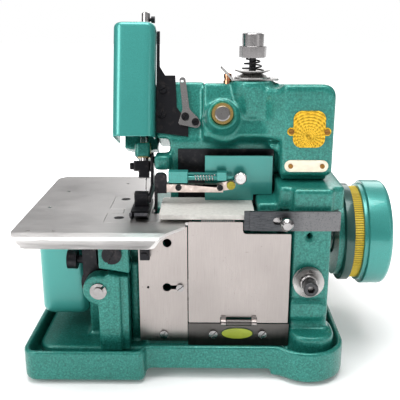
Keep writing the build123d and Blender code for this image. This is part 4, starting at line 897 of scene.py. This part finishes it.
class OVERLOCK_OT_fittings(bpy.types.Operator):
    """Finishes the small fittings whose faces differ: screws, name plates, knife and tensions"""

    bl_idname = "overlock.fittings"
    bl_label = "Fittings"

    def execute(self, context):
        def ahead(point):
            return (point - NEEDLE_FOOT).dot(OUT_FRONT)

        guide = eased("thread_guide", "thread_guide_finished", "bright", 0.0002)
        picked(guide, "black", lambda p: ahead(p) > 0.01525)
        knife = eased("knife_arm", "knife_arm_finished", "pink_steel", 0.0003)
        parted(knife, (KNIFE_JOINT, 0, 0), (1, 0, 0))
        picked(knife, "black", lambda p: p.y < -0.04105 or p.x < KNIFE_JOINT)
        guard = eased("guard_plate", "guard_plate_finished", "cover", 0.0003)
        picked(guard, "olive", lambda p: p.y < -0.0392)
        plates = eased("name_plates", "name_plates_finished", "plaque", 0.0002)
        picked(plates, "cream", lambda p: p.z < 0.185)
        screws = eased("frame_screws", "frame_screws_finished", "black", 0.00015)
        picked(screws, "bronze", lambda p: p.z > 0.165)
        picked(screws, "chrome", lambda p: p.y < -0.0719 and p.z < 0.09 and p.x > -0.03)
        blade = eased("lower_knife", "lower_knife_finished", "ground", 0.0003)
        picked(blade, "black", lambda p: p.y < -0.0715)
        wheel = eased("handwheel", "handwheel_finished", "cover", 0.0010)
        belt_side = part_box("drive_belt")[0][0]
        # the wheel's faces left of the belt get the painted shade
        picked(wheel, "wheel_painted_shade", lambda p: p.x < belt_side + 0.0005)
        for node, finish, width, angle in (
            ("needle_clamp", "black", 0.0004, 35.0),
            ("latch_knob", "chrome", 0.0006, 22.0),
            ("side_nut", "gun_metal", 0.0003, 35.0),
            ("top_nut", "chrome", 0.0003, 35.0),
            ("tension_bracket", "alloy", 0.0003, 35.0),
        ):
            eased(node, node + "_finished", finish, width, angle)
        return {"FINISHED"}


class OVERLOCK_OT_belt_ribs(bpy.types.Operator):
    """Runs the cross ribs round the drive belt"""

    bl_idname = "overlock.belt_ribs"
    bl_label = "Belt ribs"

    def execute(self, context):
        chosen = details()
        low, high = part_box("drive_belt")
        repeated("belt_ribs", belt_path(-0.0003), True, True, chosen.cog_pitch * 0.5,
                 chosen.cog_height * 0.82, high[0] - low[0] + 0.0003, 0.0, "belt",
                 BODY_OF["drive_belt"])
        return {"FINISHED"}


class OVERLOCK_OT_trim(bpy.types.Operator):
    """Adds the serrated strip, the blank label and the oil cap"""

    bl_idname = "overlock.trim"
    bl_label = "Strip, label and oil cap"

    def execute(self, context):
        chosen = details()
        door_low, door_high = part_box("looper_cover")
        row = [(STRIP_START + STRIP_LENGTH * step / 20, door_low[1] + 0.0050,
                door_high[2] + 0.0011) for step in range(21)]
        repeated("serrated_strip", row, False, False, chosen.tooth_pitch,
                 0.0011, 0.0021, chosen.tooth_pitch * 0.62, "alloy", "frame")
        plate_low, plate_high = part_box("hinge_plate")
        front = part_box("left_front_plate")[0][1]
        middle = ((plate_low[0] + plate_high[0]) / 2 - 0.001, front, plate_low[2] + LABEL_RISE)
        oval("label_rim", middle, 0.0138, 0.0056, 0.0004, "label_edge", "frame")
        oval("label_face", (middle[0], middle[1] - 0.0002, middle[2]), 0.0129, 0.0048, 0.0005,
             "label", "frame")
        right, above, ahead = OIL_CAP
        seat = NEEDLE_FOOT + UP_BAR * above + OUT_FRONT * ahead + Vector((right, 0, 0))
        turned("oil_cap", seat, UP_BAR, (
            (0.0, 0.0), (0.0, 0.0038), (0.0035, 0.0038), (0.0040, 0.0030), (0.0060, 0.0030),
            (0.0064, 0.0034), (0.0088, 0.0034), (0.0096, 0.0026), (0.0098, 0.0)),
            "copper", "frame", 28)
        return {"FINISHED"}


class OVERLOCK_OT_motor(bpy.types.Operator):
    """Adds the motor's bands and vents"""

    bl_idname = "overlock.motor_details"
    bl_label = "Motor bands and vents"

    def execute(self, context):
        low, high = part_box("motor")
        axis = AXIS_AT["motor_spin"]
        radius = high[1] - axis.y
        for name, along in (("motor_band_left", 0.014), ("motor_band_right", 0.096)):
            turned(name, (low[0] + along, axis.y, axis.z), (1, 0, 0), (
                (0.0, radius - 0.002), (0.0, radius - 0.0004), (0.0004, radius + 0.0004),
                (0.0036, radius + 0.0004), (0.0040, radius - 0.0004), (0.0040, radius - 0.002)),
                "ground", BODY_OF["motor"], CIRCLE_STEPS)
        count = details().vent_count
        ring_radius = radius * 0.62
        turns = [2 * math.pi * step / CIRCLE_STEPS for step in range(CIRCLE_STEPS)]
        ring = [(low[0] + 0.0002, axis.y + ring_radius * math.cos(turn),
                 axis.z + ring_radius * math.sin(turn)) for turn in turns]
        # the vent slots carry painted shade for their dark insides
        repeated("motor_vents", ring, True, False, 2 * math.pi * ring_radius / count, 0.0024,
                 0.0095, 0.0008, "vent_painted_shade", BODY_OF["motor"])
        return {"FINISHED"}


def make_room(scene):
    """A soft room, darker towards the floor, seen as plain white."""
    world = bpy.data.worlds.new("soft_room")
    world.use_nodes = True
    nodes, links = world.node_tree.nodes, world.node_tree.links
    nodes.clear()
    place = nodes.new("ShaderNodeTexCoord")
    split = nodes.new("ShaderNodeSeparateXYZ")
    links.new(place.outputs["Generated"], split.inputs[0])
    sky = nodes.new("ShaderNodeValToRGB")
    for stop, (position, shade) in zip(sky.color_ramp.elements, ((0.0, 0.16), (0.75, 1.0))):
        stop.position = position
        stop.color = (shade, shade, shade * 1.01, 1)
    links.new(split.outputs["Z"], sky.inputs["Fac"])
    soft = nodes.new("ShaderNodeBackground")
    soft.inputs["Strength"].default_value = staging().daylight
    links.new(sky.outputs["Color"], soft.inputs["Color"])
    seen = nodes.new("ShaderNodeBackground")
    seen.inputs["Color"].default_value = (1, 1, 1, 1)
    path = nodes.new("ShaderNodeLightPath")
    either = nodes.new("ShaderNodeMixShader")
    links.new(path.outputs["Is Camera Ray"], either.inputs["Fac"])
    links.new(soft.outputs[0], either.inputs[1])
    links.new(seen.outputs[0], either.inputs[2])
    output = nodes.new("ShaderNodeOutputWorld")
    links.new(either.outputs[0], output.inputs["Surface"])
    scene.world = world


def make_floor():
    """White paper that glows more with distance, so that no edge shows."""
    shape = bmesh.new()
    bmesh.ops.create_grid(shape, x_segments=8, y_segments=8, size=6.0)
    mesh = bpy.data.meshes.new("floor")
    shape.to_mesh(mesh)
    shape.free()
    ground = Finish("floor_paper")
    cloud = ground.noise(1.5, 2.0)
    tone = tuple(staging().floor)
    far = (ground.height(0) ** 2 + ground.height(1) ** 2) ** 0.5
    glow = ground.ramp(ground.span(far, 0.16, 0.75), (0.0, 0.10), (1.0, 0.95))
    floor = new_piece("floor", mesh, ground.close(
        Base_Color=ground.mix(ground.span(cloud, 0.3, 0.7), tone, tinted(tone, 0.985)),
        Roughness=0.9, Emission_Color=glow, Emission_Strength=1.0))


def make_lights(scene):
    """Four area lights that face the machine's middle."""
    key_power = staging().key_power
    middle = (CAD_BOX[0] + CAD_BOX[1]) / 2
    for name, spot, size, share in (
        ("key_light", (-0.95, -0.75, 0.85), (0.6, 0.8), 0.95),
        ("fill_light", (0.95, -0.7, 0.55), (0.5, 0.7), 0.10),
        ("top_light", (-0.05, -0.10, 1.3), (1.1, 0.7), 1.75),
        ("back_light", (0.3, 1.1, 0.8), (1.0, 0.7), 0.6),
    ):
        light = bpy.data.lights.new(name, "AREA")
        light.shape = "RECTANGLE"
        light.size, light.size_y = size
        light.energy = key_power * share
        lamp = bpy.data.objects.new(name, light)
        lamp.location = spot
        lamp.rotation_euler = (middle - Vector(spot)).to_track_quat("-Z", "Y").to_euler()
        scene.collection.objects.link(lamp)


def make_camera(scene):
    camera = bpy.data.cameras.new("studio_camera")
    camera.sensor_width = 36.0
    camera.lens = staging().lens
    camera.clip_start = 0.02
    camera.clip_end = 50.0
    eye = bpy.data.objects.new("studio_camera", camera)
    eye.location = (0.019, -0.5513, 0.294)
    eye.rotation_euler = (math.radians(90 - 16.45), 0, math.radians(0.73))
    scene.collection.objects.link(eye)
    scene.camera = eye


class OVERLOCK_OT_stage(bpy.types.Operator):
    """Makes the floor, the soft light and the camera"""

    bl_idname = "overlock.stage"
    bl_label = "Stage"

    def execute(self, context):
        scene = context.scene
        scene.view_settings.view_transform = "Standard"
        make_room(scene)
        make_floor()
        make_lights(scene)
        make_camera(scene)
        return {"FINISHED"}


class OVERLOCK_PT_panel(bpy.types.Panel):
    """Lists the steps that finish the machine"""

    bl_label = "Overlock machine"
    bl_idname = "OVERLOCK_PT_panel"
    bl_space_type = "VIEW_3D"
    bl_region_type = "UI"
    bl_category = "Overlock"

    def draw(self, context):
        layout = self.layout
        for group in (finishes(), details(), staging()):
            box = layout.box()
            for name in group.bl_rna.properties.keys():
                if name not in ("rna_type", "name"):
                    box.prop(group, name)
        for operator in OPERATORS:
            layout.operator(operator.bl_idname)


OPERATORS = (
    OVERLOCK_OT_finishes,
    OVERLOCK_OT_castings,
    OVERLOCK_OT_plates,
    OVERLOCK_OT_fittings,
    OVERLOCK_OT_belt_ribs,
    OVERLOCK_OT_trim,
    OVERLOCK_OT_motor,
    OVERLOCK_OT_stage,
)
GROUPS = (FinishSettings, DetailSettings, StageSettings)


def register():
    for made in (*GROUPS, *OPERATORS, OVERLOCK_PT_panel):
        bpy.utils.register_class(made)
    bpy.types.Scene.overlock_finish = PointerProperty(type=FinishSettings)
    bpy.types.Scene.overlock_detail = PointerProperty(type=DetailSettings)
    bpy.types.Scene.overlock_stage = PointerProperty(type=StageSettings)


def unregister():
    del bpy.types.Scene.overlock_stage
    del bpy.types.Scene.overlock_detail
    del bpy.types.Scene.overlock_finish
    for made in reversed((*GROUPS, *OPERATORS, OVERLOCK_PT_panel)):
        bpy.utils.unregister_class(made)


def main():
    register()
    for operator in OPERATORS:
        group, name = operator.bl_idname.split(".")
        getattr(getattr(bpy.ops, group), name)()


if __name__ == "__main__":
    main()
